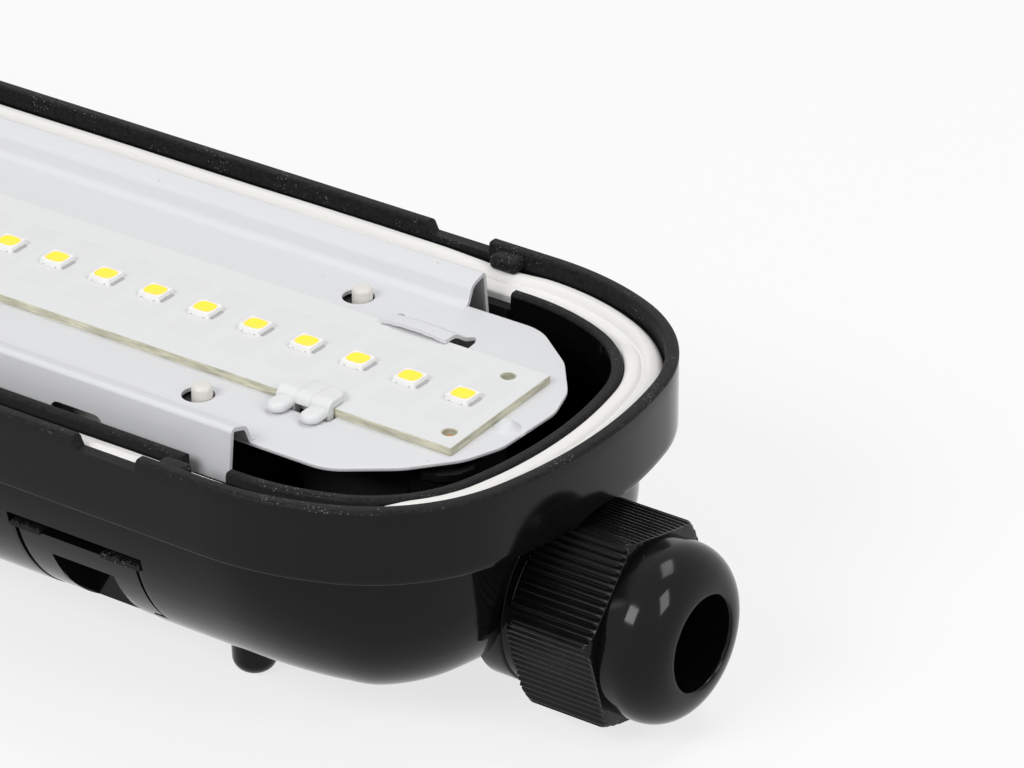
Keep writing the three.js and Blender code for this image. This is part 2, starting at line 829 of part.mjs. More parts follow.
// Board clip: a head over the edge, two legs, two feet on the tray and a hook below it
function makeClip(x) {
  const half = clipLength / 2;
  const headTop = boardTop + holderClearance + clipHead;
  const legInner = -boardEdge - holderClearance;
  const legOuter = legInner - clipLegThickness;
  const headInner = -boardEdge + clipOverlap;
  const rounding = clipOverlap / 2;
  const head = plate([
    [x - half, legOuter],
    [x + half, legOuter],
    [x + half, headInner - rounding],
    [x + half - rounding / 2, headInner - rounding / 3],
    [x + half - rounding, headInner],
    [x - half + rounding, headInner],
    [x - half + rounding / 2, headInner - rounding / 3],
    [x - half, headInner - rounding],
  ], boardTop + holderClearance, headTop);
  const hookBottom = trayUnder - holderClearance - clipHookDepth;
  const bodies = [head];
  for (const side of [-1, 1]) {
    const centre = x + side * (half - clipLeg / 2);
    const left = centre - clipLeg / 2;
    const right = centre + clipLeg / 2;
    bodies.push(block([left, legOuter, hookBottom], [right, legInner, headTop]));
    const footOuter = legOuter - clipFootReach;
    bodies.push(plate([
      [left, legInner],
      [left, footOuter + clipLeg / 3],
      [left + clipLeg / 4, footOuter],
      [right - clipLeg / 4, footOuter],
      [right, footOuter + clipLeg / 3],
      [right, legInner],
    ], trayTop + holderClearance, trayTop + holderClearance + clipFootThickness));
    const hookTop = trayUnder - holderClearance;
    bodies.push(section([
      [legOuter, hookTop],
      [legOuter - clipHookReach, hookTop],
      [legOuter, hookBottom],
      [legInner, hookBottom],
      [legInner, hookTop],
    ], left, right));
  }
  return join(bodies);
}

// Outline of the driver with rounded corners, drawn in by an inset
function driverOutline(inset) {
  const radius = driverRound;
  const corners = [
    [driverEnd - inset - radius, driverWidth / 2 - inset - radius, 0],
    [driverStart + inset + radius, driverWidth / 2 - inset - radius, 1],
    [driverStart + inset + radius, -driverWidth / 2 + inset + radius, 2],
    [driverEnd - inset - radius, -driverWidth / 2 + inset + radius, 3],
  ];
  const steps = roundSteps / 4;
  return corners.flatMap(([x, y, quarter]) => {
    const points = [];
    for (let i = 0; i <= steps; i += 1) {
      const angle = (Math.PI / 2) * (quarter + i / steps);
      points.push([x + radius * Math.cos(angle), y + radius * Math.sin(angle)]);
    }
    return points;
  });
}

// Space round the hooks of a clip, grown by a wall, in the top of the driver
function clipPocket(x, grown) {
  const half = clipLength / 2 + 2 * leadClearance + grown;
  const near = -boardEdge + holderClearance * 2 + grown;
  const far = -boardEdge - clipLegThickness - clipHookReach - 4 * holderClearance - grown;
  const bottom = trayUnder - clipHookDepth - 4 * holderClearance - grown;
  const top = grown ? driverTop : driverTop + overrun;
  return block([x - half, far, bottom], [x + half, near, top]);
}

// Driver case: an open box under the tray, with the pegs that go up through the tray
function makeDriverCase() {
  const floor = driverBottom + driverCoverThickness + coverStep;
  let body = plate(driverOutline(0), floor, driverTop);
  body = body.subtract(plate(driverOutline(driverWall), floor - overrun, driverTop - driverWall));
  for (const x of holderPlaces.filter((place) => place > driverStart && place < driverEnd)) {
    body = body.add(clipPocket(x, driverWall)).subtract(clipPocket(x, 0));
  }
  const leadY = driverWidth / 4;
  for (const end of [driverStart, driverEnd]) {
    const low = [end - driverWall - overrun, -leadY, floor - overrun];
    const high = [end + driverWall + overrun, leadY, leadHeight + leadDiameter / 2 + leadClearance];
    body = body.subtract(block(low, high));
  }
  for (const x of pegPlaces) {
    for (const side of [-1, 1]) {
      const geometry = turned([
        [0, driverTop - driverWall / 2],
        [pegDiameter / 2, driverTop - driverWall / 2],
        [pegDiameter / 2, trayTop + pegRise - pegDiameter / 4],
        [pegDiameter / 4, trayTop + pegRise],
        [0, trayTop + pegRise],
      ], roundSteps);
      geometry.translate(x, side * pegOffset, 0);
      body = body.add(solid(geometry));
    }
  }
  return body;
}

// Driver cover: the lid below the case, with a rim that locates inside it
function makeDriverCover() {
  const top = driverBottom + driverCoverThickness;
  const inset = driverWall + coverStep;
  const lid = plate(driverOutline(0), driverBottom, top);
  const rim = plate(driverOutline(inset), top - driverCoverThickness / 2, coverRimTop);
  const hollow = plate(driverOutline(inset + driverWall), top, coverRimTop + overrun);
  return lid.add(rim.subtract(hollow));
}

// Terminal block with a port on both sides of each pole
function makeTerminalBlock() {
  const low = [terminalStart, -terminalWidth / 2, terminalBottom];
  let body = block(low, [terminalEnd, terminalWidth / 2, trayUnder]);
  const half = terminalPort / 2;
  for (const y of poleOffsets) {
    for (const [from, to] of [
      [terminalStart - overrun, terminalStart + terminalPortDepth],
      [terminalEnd - terminalPortDepth, terminalEnd + overrun],
    ]) {
      body = body.subtract(block([from, y - half, portHeight - half], [to, y + half, portHeight + half]));
    }
  }
  return body;
}

// A smooth curve whose steps crowd where its points do, at the bends.
class BendCurve extends THREE.CatmullRomCurve3 {
  getPointAt(t, target) {
    return this.getPoint(t, target);
  }

  getTangentAt(t, target) {
    return this.getTangent(t, target);
  }
}

// A round wire along a smooth curve through points.
function wire(points, diameter) {
  const path = new BendCurve(points.map(([x, y, z]) => new THREE.Vector3(x, y, z)));
  const steps = leadSpanSteps * (points.length - 1);
  const shape = new THREE.Shape();
  for (let i = 0; i < leadSides; i += 1) {
    const angle = (2 * Math.PI * i) / leadSides;
    const corner = [(diameter / 2) * Math.cos(angle), (diameter / 2) * Math.sin(angle)];
    if (i === 0) {
      shape.moveTo(...corner);
    } else {
      shape.lineTo(...corner);
    }
  }
  return solid(new THREE.ExtrudeGeometry(shape, { steps, extrudePath: path, bevelEnabled: false }));
}

// Supply lead from a pole of the terminal block down into the end of the driver
function makeSupplyLead(pole, entry) {
  const gap = terminalStart - driverEnd;
  return wire([
    [terminalStart + terminalPortDepth - leadClearance * 2, pole, portHeight],
    [terminalStart, pole, portHeight],
    [driverEnd + gap / 2, (pole + entry) / 2, (portHeight + leadHeight) / 2],
    [driverEnd, entry, leadHeight],
    [driverEnd - terminalPortDepth, entry, leadHeight],
  ], leadDiameter);
}

// Earth lead from the middle pole to the tail of the ring on the stud
function makeEarthLead() {
  const height = trayUnder - 2 * leadClearance - leadDiameter / 2;
  const tail = -studOffset + ringTailReach + leadClearance;
  const alongShares = [0.5, 0.85, 1];
  const sideShares = [0, 0.25, 0.65];
  const climbShares = [0.15, 0.55, 0.9];
  return wire([
    [terminalEnd - terminalPortDepth + leadClearance * 2, 0, portHeight],
    [terminalEnd, 0, portHeight],
    ...alongShares.map((share, i) => [
      terminalEnd + (studPlace - terminalEnd) * share,
      tail * sideShares[i],
      portHeight + (height - portHeight) * climbShares[i],
    ]),
    [studPlace, tail, height],
  ], leadDiameter);
}

// Output lead from the driver, up through the grommet and over to its pad on the board
function makeOutputLead(side) {
  const offset = (side * leadSpacing) / 2;
  const y = grommetOffset + offset;
  const over = boardTop + leadClearance + leadDiameter / 2;
  const belowGrommet = trayUnder - 2 * grommetFlange;
  const run = driverStart - terminalPortDepth;
  const runShares = [0.6, 0.2];
  const sideShares = [0.3, 0.9];
  const padShare = 0.7;
  return wire([
    [driverStart + terminalPortDepth, offset, leadHeight],
    [run, offset, leadHeight],
    ...runShares.map((share, i) => [run * share, offset + grommetOffset * sideShares[i], leadHeight]),
    [leadDiameter * 2, y, leadHeight + leadDiameter],
    [0, y, belowGrommet - 2 * leadDiameter],
    [0, y, belowGrommet],
    [0, y, trayTop + grommetFlange],
    [side * leadDiameter, y - leadDiameter / 2, over + leadDiameter / 3],
    [side * padReach * padShare, boardEdge + leadDiameter, over + leadDiameter / 3],
    [side * padReach, boardEdge - leadDiameter / 2, over],
    [side * padReach, padOffset, over],
  ], leadDiameter);
}

// Link wire over the joint of the two boards
function makeLink(side) {
  const y = side * linkOffset;
  const low = boardTop + leadClearance + linkDiameter / 2;
  return wire([
    [-linkSpan / 2, y, low],
    [-linkSpan / 4, y, low + linkRise / 2],
    [0, y, low + linkRise],
    [linkSpan / 4, y, low + linkRise / 2],
    [linkSpan / 2, y, low],
  ], linkDiameter);
}

// Ring terminal on the earth stud, and the nut that clamps it
function makeRing() {
  const top = trayUnder - studClearance;
  const bottom = top - ringThickness;
  const disc = bar(ringDiameter / 2, studPlace, -studOffset, bottom, top, roundSteps);
  const radius = studDiameter / 2 + studClearance;
  const hole = bar(radius, studPlace, -studOffset, bottom - overrun, top + overrun, roundSteps);
  const half = ringTailWidth / 2;
  const tail = block(
    [studPlace - half, -studOffset, bottom],
    [studPlace + half, -studOffset + ringTailReach, top],
  );
  return disc.add(tail).subtract(hole);
}

function makeEarthNut() {
  const top = trayUnder - 2 * studClearance - ringThickness;
  const bottom = top - nutOnStudHeight;
  const points = [];
  for (let i = 0; i < 6; i += 1) {
    const angle = (Math.PI * i) / 3;
    const corner = nutOnStud / 2 / Math.cos(Math.PI / 6);
    points.push([studPlace + corner * Math.cos(angle), -studOffset + corner * Math.sin(angle)]);
  }
  const radius = studDiameter / 2 + studClearance;
  const hole = bar(radius, studPlace, -studOffset, bottom - overrun, top + overrun, roundSteps);
  return plate(points, bottom, top).subtract(hole);
}

// Grommet in the tray, with a flange on each face
function makeGrommet() {
  const waist = grommetHole / 2 - grommetClearance;
  const flange = grommetHole / 2 + grommetFlange;
  const bore = waist - grommetWall;
  const top = trayTop + grommetClearance;
  const bottom = trayUnder - grommetClearance;
  const geometry = turned([
    [bore, bottom - grommetFlange],
    [flange, bottom - grommetFlange],
    [flange, bottom],
    [waist, bottom],
    [waist, top],
    [flange, top],
    [flange, top + grommetFlange],
    [bore, top + grommetFlange],
    [bore, bottom - grommetFlange],
  ], roundSteps);
  geometry.translate(0, grommetOffset, 0);
  return solid(geometry);
}

// Gland seal: a rubber sleeve in the mouth of the spigot with a flange over it
function makeSeal() {
  const sleeve = spigotDiameter / 2 - sealWall - nutClearance;
  const flange = spigotDiameter / 2;
  return turnedOnGland([
    [sealBore / 2, sealSeat + nutClearance],
    [sleeve, sealSeat + nutClearance],
    [sleeve, spigotEnd + nutClearance],
    [flange, spigotEnd + nutClearance],
    [flange, sealEnd],
    [sealBore / 2, sealEnd],
    [sealBore / 2, sealSeat + nutClearance],
  ]);
}

// Thrust ring between the seal and the nut
function makeThrustRing() {
  const start = sealEnd + nutClearance;
  return turnedOnGland([
    [cableHole / 2, start],
    [spigotDiameter / 2, start],
    [spigotDiameter / 2, start + thrustRing],
    [cableHole / 2, start + thrustRing],
    [cableHole / 2, start],
  ]);
}

// Outline of the nut in Y and Z: six flats, each with fine ribs
function nutOutline() {
  const corner = (k) => {
    const angle = THREE.MathUtils.degToRad(nutTurn + 60 * k);
    return new THREE.Vector2(nutCorner * Math.cos(angle), nutCorner * Math.sin(angle));
  };
  const points = [];
  for (let k = 0; k < 6; k += 1) {
    const from = corner(k);
    const to = corner(k + 1);
    const inward = from.clone().add(to).normalize().multiplyScalar(-ribDepth);
    const at = (share) => from.clone().lerp(to, share / ribsPerFlat);
    points.push(from);
    for (let i = 1; i < ribsPerFlat; i += 1) {
      points.push(at(i - ribLandShare), at(i).add(inward), at(i + ribLandShare));
    }
  }
  return points.map(({ x, y }) => [x, y + glandHeight]);
}

// Gland nut: ribbed hexagon with a domed front and a hole for the cable
function makeNut() {
  const radius = nutCorner + nutClearance;
  const chamferLength = nutChamfer * nutChamferShare;
  const envelope = turnedOnGland([
    [0, nutBack],
    [nutCorner - nutChamfer, nutBack],
    [radius, nutBack + chamferLength],
    [radius, nutFront - chamferLength],
    [nutCorner - nutChamfer, nutFront],
    [0, nutFront],
  ]);
  const dome = [[0, nutFront - tubWall], [domeDiameter / 2, nutFront - tubWall]];
  const lip = cableHole / 2 + nutChamfer;
  const last = Math.acos(lip / (domeDiameter / 2));
  for (let i = 0; i <= tubSteps; i += 1) {
    const angle = (last * i) / tubSteps;
    dome.push([
      (domeDiameter / 2) * Math.cos(angle),
      nutFront + (domeLength * Math.sin(angle)) / Math.sin(last),
    ]);
  }
  dome.push([cableHole / 2, domeFront - nutChamfer], [0, domeFront - nutChamfer]);
  const inside = sealEnd + 2 * nutClearance + thrustRing;
  const cavity = turnedOnGland([
    [0, nutBack - overrun],
    [spigotDiameter / 2 + threadClearance, nutBack - overrun],
    [spigotDiameter / 2 + threadClearance, inside],
    [cableHole / 2, inside],
    [cableHole / 2, domeFront + overrun],
    [0, domeFront + overrun],
  ]);
  const ribbed = section(nutOutline(), nutBack, nutFront).intersect(envelope);
  return ribbed.add(turnedOnGland(dome)).subtract(cavity);
}

const model = new THREE.Group();
model.name = 'vapor_tight_fixture';

// Adds one named piece with its own material.
function add(name, body, color, roughness, metalness) {
  const material = new THREE.MeshStandardMaterial({ color, roughness, metalness });
  const mesh = new THREE.Mesh(geometryOf(body), material);
  mesh.name = name;
  model.add(mesh);
}

add('housing', makeHousing(), 0x0b0b0c, 0.25, 0);
add('gasket', makeGasket(), 0xe0dfdb, 0.7, 0);
add('gear_tray', makeTray(), 0xdfe2e6, 0.35, 0.1);
add('led_board_a', makeBoard(1), 0xe8e9e9, 0.45, 0);
add('led_board_b', makeBoard(-1), 0xe8e9e9, 0.45, 0);
[1, -1].forEach((end) => holderPlaces.forEach((place, i) => {
  const number = end > 0 ? i + 1 : holdersPerBoard + i + 1;
  add(`board_clip_${number}`, makeClip(end * place), 0xf0f2f2, 0.5, 0);
}));
add('driver_case', makeDriverCase(), 0xd2cfca, 0.5, 0);
add('driver_cover', makeDriverCover(), 0xd2cfca, 0.5, 0);
add('terminal_block', makeTerminalBlock(), 0xf2f2ee, 0.45, 0);
add('lead_live', makeSupplyLead(poleOffsets[0], -driverWidth / 8), 0x6b3f22, 0.5, 0);
add('lead_neutral', makeSupplyLead(poleOffsets[terminalPoles - 1], driverWidth / 8), 0x2456a6, 0.5, 0);
add('lead_earth', makeEarthLead(), 0x4f9a3a, 0.5, 0);
add('earth_ring', makeRing(), 0xc7c9cc, 0.3, 1);
add('earth_nut', makeEarthNut(), 0xb9bcc0, 0.3, 1);
add('grommet', makeGrommet(), 0x1b1b1c, 0.7, 0);
add('lead_positive', makeOutputLead(1), 0xb3261e, 0.5, 0);
add('lead_negative', makeOutputLead(-1), 0x1b1b1c, 0.5, 0);
add('board_link_positive', makeLink(1), 0xb3261e, 0.5, 0);
add('board_link_negative', makeLink(-1), 0x1b1b1c, 0.5, 0);
add('gland_seal', makeSeal(), 0x161616, 0.8, 0);
add('gland_thrust_ring', makeThrustRing(), 0x2a2a2b, 0.5, 0);
add('gland_nut', makeNut(), 0x0d0d0e, 0.25, 0);

export default model;
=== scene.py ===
"""Vapor tight light fixture with its cover off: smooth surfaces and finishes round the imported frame."""

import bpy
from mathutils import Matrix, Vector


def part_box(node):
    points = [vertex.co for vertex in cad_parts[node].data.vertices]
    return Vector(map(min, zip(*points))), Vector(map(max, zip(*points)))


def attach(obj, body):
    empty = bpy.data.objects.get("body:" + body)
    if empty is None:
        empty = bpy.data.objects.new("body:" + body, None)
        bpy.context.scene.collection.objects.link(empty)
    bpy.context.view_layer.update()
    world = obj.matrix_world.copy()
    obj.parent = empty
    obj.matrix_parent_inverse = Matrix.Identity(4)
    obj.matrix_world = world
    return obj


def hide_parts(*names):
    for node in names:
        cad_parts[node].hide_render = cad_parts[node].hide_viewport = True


bl_info = {
    "name": "Vapor Tight Light Fixture",
    "version": (1, 0, 0),
    "blender": (4, 5, 0),
    "location": "3D View > Sidebar > Light Fixture",
    "description": "Builds a vapor tight light fixture with gasket, gear tray, light boards and cable gland",
    "category": "Object",
}

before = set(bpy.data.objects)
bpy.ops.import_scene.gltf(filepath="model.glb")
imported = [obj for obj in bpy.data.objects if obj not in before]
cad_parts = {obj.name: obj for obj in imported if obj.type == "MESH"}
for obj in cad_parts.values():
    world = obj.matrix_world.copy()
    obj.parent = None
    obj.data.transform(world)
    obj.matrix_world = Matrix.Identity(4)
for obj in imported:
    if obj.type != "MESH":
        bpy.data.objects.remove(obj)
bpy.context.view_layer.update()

from math import acos, cos, pi, radians, sin
from types import SimpleNamespace

import bmesh
import bpy
import numpy as np
from mathutils import Vector

# Places read from the frame, in metres.
HOUSING_LOW, HOUSING_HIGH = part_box("housing")
TRAY_LOW, TRAY_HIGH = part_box("gear_tray")
BOARD_LOW, BOARD_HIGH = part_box("led_board_a")
NUT_LOW, NUT_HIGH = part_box("gland_nut")
SEAL_LOW, SEAL_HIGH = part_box("gland_seal")
DRIVER_LOW, DRIVER_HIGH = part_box("driver_case")
TERMINAL_LOW, TERMINAL_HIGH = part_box("terminal_block")

HALF_LENGTH = -HOUSING_LOW[0]
HALF_WIDTH = HOUSING_HIGH[1]
RIM = HOUSING_HIGH[2]
GLAND_Z = (SEAL_LOW[2] + SEAL_HIGH[2]) / 2
BOARD_EDGE = BOARD_HIGH[1]
BOARD_TOP = BOARD_LOW[2] + 0.001


# Sizes and colours


def metres(name, description, default):
    """A property for a size in metres."""
    return bpy.props.FloatProperty(name=name, description=description, default=default, unit="LENGTH")


def tint(name, description, default):
    """A property for a colour."""
    return bpy.props.FloatVectorProperty(name=name, description=description, default=default,
                                         subtype="COLOR", size=3)


class HousingSizes(bpy.types.PropertyGroup):
    """Sizes of the moulded housing and its gasket."""

    wall: metres("Wall", "Wall of the tub", 0.0019)
    foot_height: metres("Foot height", "From the foot plane to the base", 0.0046)
    nose_overhang: metres("Nose overhang", "How much further the skirt stands out round the nose", 0.0030)
    nose_radius: metres("Nose radius", "Lower round of the tub at the nose", 0.0125)
    skirt_depth: metres("Skirt depth", "From the rim's top to the skirt's lower lip", 0.0088)
    skirt_overhang: metres("Skirt overhang", "How far the skirt stands out from the tub", 0.00115)
    rim_wall: metres("Rim wall", "Thickness of the outer wall of the groove", 0.0015)
    groove_width: metres("Groove width", "Width of the gasket's groove", 0.00455)
    groove_depth: metres("Groove depth", "Depth of the groove below the rim", 0.0074)
    inner_wall: metres("Inner wall", "Thickness of the inner wall of the groove", 0.00135)
    inner_drop: metres("Inner wall drop", "How far the inner wall ends below the rim", 0.0019)


class GearSizes(bpy.types.PropertyGroup):
    """Sizes of the gear tray, the light boards and their light sources."""

    sheet: metres("Sheet", "Sheet of the tray", 0.00045)
    flat_width: metres("Flat width", "Width of the flat of the tray", 0.0392)
    hump_rise: metres("Hump rise", "Height of the folded edge over the flat", 0.0031)
    light_pitch: metres("Light pitch", "Distance from one light source to the next", 0.007)
    light_length: metres("Light length", "Length of a light source", 0.0035)
    light_width: metres("Light width", "Width of a light source", 0.0028)


class FinishColours(bpy.types.PropertyGroup):
    """Colours of the finishes."""

    housing: tint("Housing", "Glossy moulded plastic", (0.0035, 0.0035, 0.004))
    rim: tint("Rim", "Dull tops of the two walls", (0.013, 0.013, 0.0135))
    gasket: tint("Gasket", "Foam of the gasket", (0.775, 0.765, 0.745))
    tray: tint("Tray", "Enamel of the tray", (0.640, 0.645, 0.662))
    board: tint("Board", "White mask of the boards", (0.670, 0.675, 0.677))
    laminate: tint("Laminate", "Cut edge of the boards", (0.46, 0.45, 0.35))
    phosphor: tint("Phosphor", "Window of a light source", (1.0, 0.72, 0.03))
    nylon: tint("Nylon", "Board clips", (0.70, 0.705, 0.71))
    driver: tint("Driver", "Driver case and its pegs", (0.66, 0.64, 0.60))


# Mesh helpers

# An edge is sharp past this many degrees, unless a piece says otherwise.
SHARP = 35.0


def mesh_object(name, verts, faces, finishes, zones=None, sharp=SHARP):
    """A mesh object from arrays of points and faces, shaded smooth with sharp edges past an angle."""
    mesh = bpy.data.meshes.new(name)
    mesh.from_pydata([tuple(p) for p in np.asarray(verts, float).tolist()], [],
                     [tuple(f) for f in faces])
    for finish in finishes:
        mesh.materials.append(finish)
    if zones is not None:
        mesh.polygons.foreach_set("material_index", np.asarray(zones, np.int32))
    piece = bpy.data.objects.new(name, mesh)
    bpy.context.scene.collection.objects.link(piece)
    shade(piece, sharp)
    return piece


def shade(piece, sharp):
    """Smooth shading that breaks where two faces meet at more than an angle."""
    mesh = piece.data
    mesh.polygons.foreach_set("use_smooth", np.ones(len(mesh.polygons), bool))
    mesh.set_sharp_from_angle(angle=radians(sharp))
    mesh.update()


def grid_faces(rows, columns, close_rows=False, close_columns=False):
    """Quads of a grid of points numbered row by row; either way can run round and close on itself."""
    last_row = rows if close_rows else rows - 1
    last_column = columns if close_columns else columns - 1
    r, c = np.meshgrid(np.arange(last_row), np.arange(last_column), indexing="ij")
    r2, c2 = (r + 1) % rows, (c + 1) % columns
    quads = np.stack([r * columns + c, r * columns + c2, r2 * columns + c2, r2 * columns + c], axis=-1)
    return quads.reshape(-1, 4)


def capped_rings(name, rings, finishes, zones=None, sharp=SHARP):
    """A closed body from rings of points: quads from each ring to the next, and a face at both ends."""
    rows, columns = rings.shape[:2]
    faces = grid_faces(rows, columns, close_columns=True).tolist()
    faces.append(list(range(columns - 1, -1, -1)))
    faces.append(list(range((rows - 1) * columns, rows * columns)))
    return mesh_object(name, rings.reshape(-1, 3), faces, finishes, zones, sharp)


def coordinates(mesh):
    """The points of a mesh, as rows of X, Y and Z."""
    points = np.empty(len(mesh.vertices) * 3)
    mesh.vertices.foreach_get("co", points)
    return points.reshape(-1, 3)


def drop(piece):
    """Removes an object and its mesh."""
    mesh = piece.data
    bpy.data.objects.remove(piece)
    bpy.data.meshes.remove(mesh)


def smooth_step(share):
    """0 below 0, 1 past 1, and three times the square less twice the cube between."""
    share = np.clip(share, 0, 1)
    return share ** 2 * (3 - 2 * share)


def rounded(points, radii, steps=5):
    """An open line with its corners turned into arcs.

    At each inner point an arc of the given radius touches both neighbouring stretches: its centre lies
    on their bisector, and it starts and ends at radius * tan(half the turn) from the corner.
    """
    points = [np.array(p, float) for p in points]
    line = [points[0]]
    for before, corner, after, radius in zip(points, points[1:], points[2:], radii):
        one, two = before - corner, after - corner
        one, two = one / np.linalg.norm(one), two / np.linalg.norm(two)
        half = acos(float(np.clip(one @ two, -1, 1))) / 2
        if radius <= 0 or half > pi / 2 - 1e-3:
            line.append(corner)
            continue
        centre = corner + (one + two) / np.linalg.norm(one + two) * radius / sin(half)
        start, end = corner + one * radius / np.tan(half), corner + two * radius / np.tan(half)
        t = np.linspace(0, 1, steps + 1)[:, None]
        arc = (start - centre) * (1 - t) + (end - centre) * t
        arc = centre + arc / np.linalg.norm(arc, axis=1)[:, None] * radius
        line.extend(arc)
    line.append(points[-1])
    return np.array(line)


def extruded(name, outline, low, high, finishes, lip=0.0, axis="Z", sharp=SHARP, lip_steps=3):
    """A plate: a closed outline carried from low to high, with both edges rounded by a small lip.

    Each row of points is the outline drawn in along its own normals by lip * (1 - sin t) at a height
    of lip * (1 - cos t) from the face, for t from 0 to a quarter turn.
    """
    outline = np.asarray(outline, float)
    area = np.sum(outline[:, 0] * np.roll(outline[:, 1], -1) - np.roll(outline[:, 0], -1) * outline[:, 1])
    if area < 0:
        outline = outline[::-1]
    ahead = np.roll(outline, -1, axis=0) - outline
    behind = outline - np.roll(outline, 1, axis=0)
    ahead /= np.linalg.norm(ahead, axis=1)[:, None]
    behind /= np.linalg.norm(behind, axis=1)[:, None]
    normal = np.stack([ahead[:, 1] + behind[:, 1], -(ahead[:, 0] + behind[:, 0])], axis=1)
    normal /= np.maximum(np.sum(normal ** 2, axis=1)[:, None] / 2, 1e-9)
    if lip > 0:
        t = np.linspace(0, pi / 2, lip_steps + 1)
        inset = np.concatenate([lip * (1 - np.sin(t)), lip * (1 - np.sin(t[::-1]))])
        level = np.concatenate([low + lip * (1 - np.cos(t)), high - lip * (1 - np.cos(t[::-1]))])
    else:
        inset, level = np.zeros(2), np.array([low, high])
    rings = outline[None] - normal[None] * inset[:, None, None]
    points = np.concatenate([rings, np.broadcast_to(level[:, None, None], rings.shape[:2] + (1,))], axis=2)
    if axis == "X":
        points = points[..., [2, 0, 1]]
    elif axis == "Y":
        points = points[..., [1, 2, 0]]
    return capped_rings(name, points, finishes, sharp=sharp)


def turned(name, profile, centre, axis, finishes, steps):
    """A turned body: pairs of radius and place along an axis, carried round it; ends close on the axis."""
    profile = np.asarray(profile, float)
    angle = np.linspace(0, 2 * pi, steps, endpoint=False)
    r, along = profile[:, 0][:, None], profile[:, 1][:, None] + 0 * angle
    a, b = r * np.cos(angle), r * np.sin(angle)
    points = np.stack([along, a, b] if axis == "X" else [a, b, along], axis=-1) + np.asarray(centre, float)
    faces = grid_faces(len(profile), steps, close_columns=True).tolist()
    piece = mesh_object(name, points.reshape(-1, 3), faces, finishes)
    merge(piece)
    outward(piece)
    shade(piece, SHARP)
    return piece


def cylinder(name, radius, low, high, centre, finishes, axis="Z", steps=40):
    """A plain round bar from low to high along an axis."""
    return turned(name, [(0, low), (radius, low), (radius, high), (0, high)], centre, axis, finishes, steps)


def stud(name, radius, tip, foot, edge, centre, finishes, steps, edge_steps):
    """An upright round stud whose tip has a rounded edge."""
    profile = rounded([(0, tip), (radius, tip), (radius, foot), (0, foot)], [edge, 0.0], edge_steps)
    return turned(name, profile, centre, "Z", finishes, steps)


def merge(piece, distance=1e-6):
    """Joins points that lie on each other, so poles and seams are closed."""
    bm = bmesh.new()
    bm.from_mesh(piece.data)
    bmesh.ops.remove_doubles(bm, verts=bm.verts, dist=distance)
    bmesh.ops.dissolve_degenerate(bm, edges=bm.edges, dist=distance)
    bm.to_mesh(piece.data)
    bm.free()


def outward(piece):
    """Turns all faces of a closed mesh outwards."""
    bm = bmesh.new()
    bm.from_mesh(piece.data)
    bmesh.ops.recalc_face_normals(bm, faces=bm.faces)
    bm.to_mesh(piece.data)
    bm.free()


def block(name, low, high, radius, finishes, steps=3, sharp=40.0):
    """A block with rounded edges.

    The points of a small sphere, angle by angle, are each pushed out to the corner of the block that
    they face: corner + radius * direction.
    """
    low, high = np.minimum(low, high).astype(float), np.maximum(low, high).astype(float)
    centre, half = (low + high) / 2, (high - low) / 2
    quarter = np.linspace(0, pi / 2, steps + 1)
    around = np.concatenate([quarter + k * pi / 2 for k in range(4)])
    side = np.repeat(np.arange(4), steps + 1)
    up = np.concatenate([quarter - pi / 2, quarter])
    level = np.repeat([-1, 1], steps + 1)
    u, v = np.meshgrid(around, up)
    sx = np.array([1, -1, -1, 1])[side]
    sy = np.array([1, 1, -1, -1])[side]
    direction = np.stack([np.cos(v) * np.cos(u), np.cos(v) * np.sin(u), np.sin(v)], axis=-1)
    signs = np.stack([np.broadcast_to(sx, u.shape), np.broadcast_to(sy, u.shape),
                      np.broadcast_to(level[:, None], u.shape)], axis=-1)
    piece = capped_rings(name, centre + signs * (half - radius) + direction * radius, finishes, sharp=sharp)
    merge(piece)
    shade(piece, sharp)
    return piece


def cut(piece, other, way="DIFFERENCE", sharp=SHARP):
    """Joins a closed cutter to a closed piece, or cuts it away, and drops the cutter."""
    change = piece.modifiers.new("cut", "BOOLEAN")
    change.operation = way
    change.solver = "MANIFOLD"
    change.object = other
    graph = bpy.context.evaluated_depsgraph_get()
    done = bpy.data.meshes.new_from_object(piece.evaluated_get(graph), depsgraph=graph)
    if len(done.polygons) == 0:
        raise RuntimeError(f"cutting {piece.name} left nothing")
    piece.modifiers.clear()
    old = piece.data
    piece.data = done
    done.name = piece.name
    bpy.data.meshes.remove(old)
    drop(other)
    shade(piece, sharp)
    return piece


def gathered(name, pieces, sharp):
    """Several objects as one: their points and faces put in one mesh, with their finishes kept."""
    verts, faces, zones, finishes = [], [], [], []
    count = 0
    for piece in pieces:
        mesh = piece.data
        verts.append(coordinates(mesh))
        slots = []
        for finish in mesh.materials:
            if finish not in finishes:
                finishes.append(finish)
            slots.append(finishes.index(finish))
        for polygon in mesh.polygons:
            faces.append([count + v for v in polygon.vertices])
            zones.append(slots[polygon.material_index] if slots else 0)
        count += len(mesh.vertices)
    for piece in pieces:
        drop(piece)
    return mesh_object(name, np.vstack(verts), faces, finishes, zones, sharp)


def repeated(name, piece, places):
    """Copies of a piece at many places, as one mesh: its points plus each place in turn."""
    mesh = piece.data
    points = coordinates(mesh)
    verts = (points[None] + np.asarray(places, float)[:, None]).reshape(-1, 3)
    faces = [[v + k * len(points) for v in p.vertices] for k in range(len(places)) for p in mesh.polygons]
    zones = [p.material_index for p in mesh.polygons] * len(places)
    result = mesh_object(name, verts, faces, list(mesh.materials), zones)
    drop(piece)
    return result


# Finishes


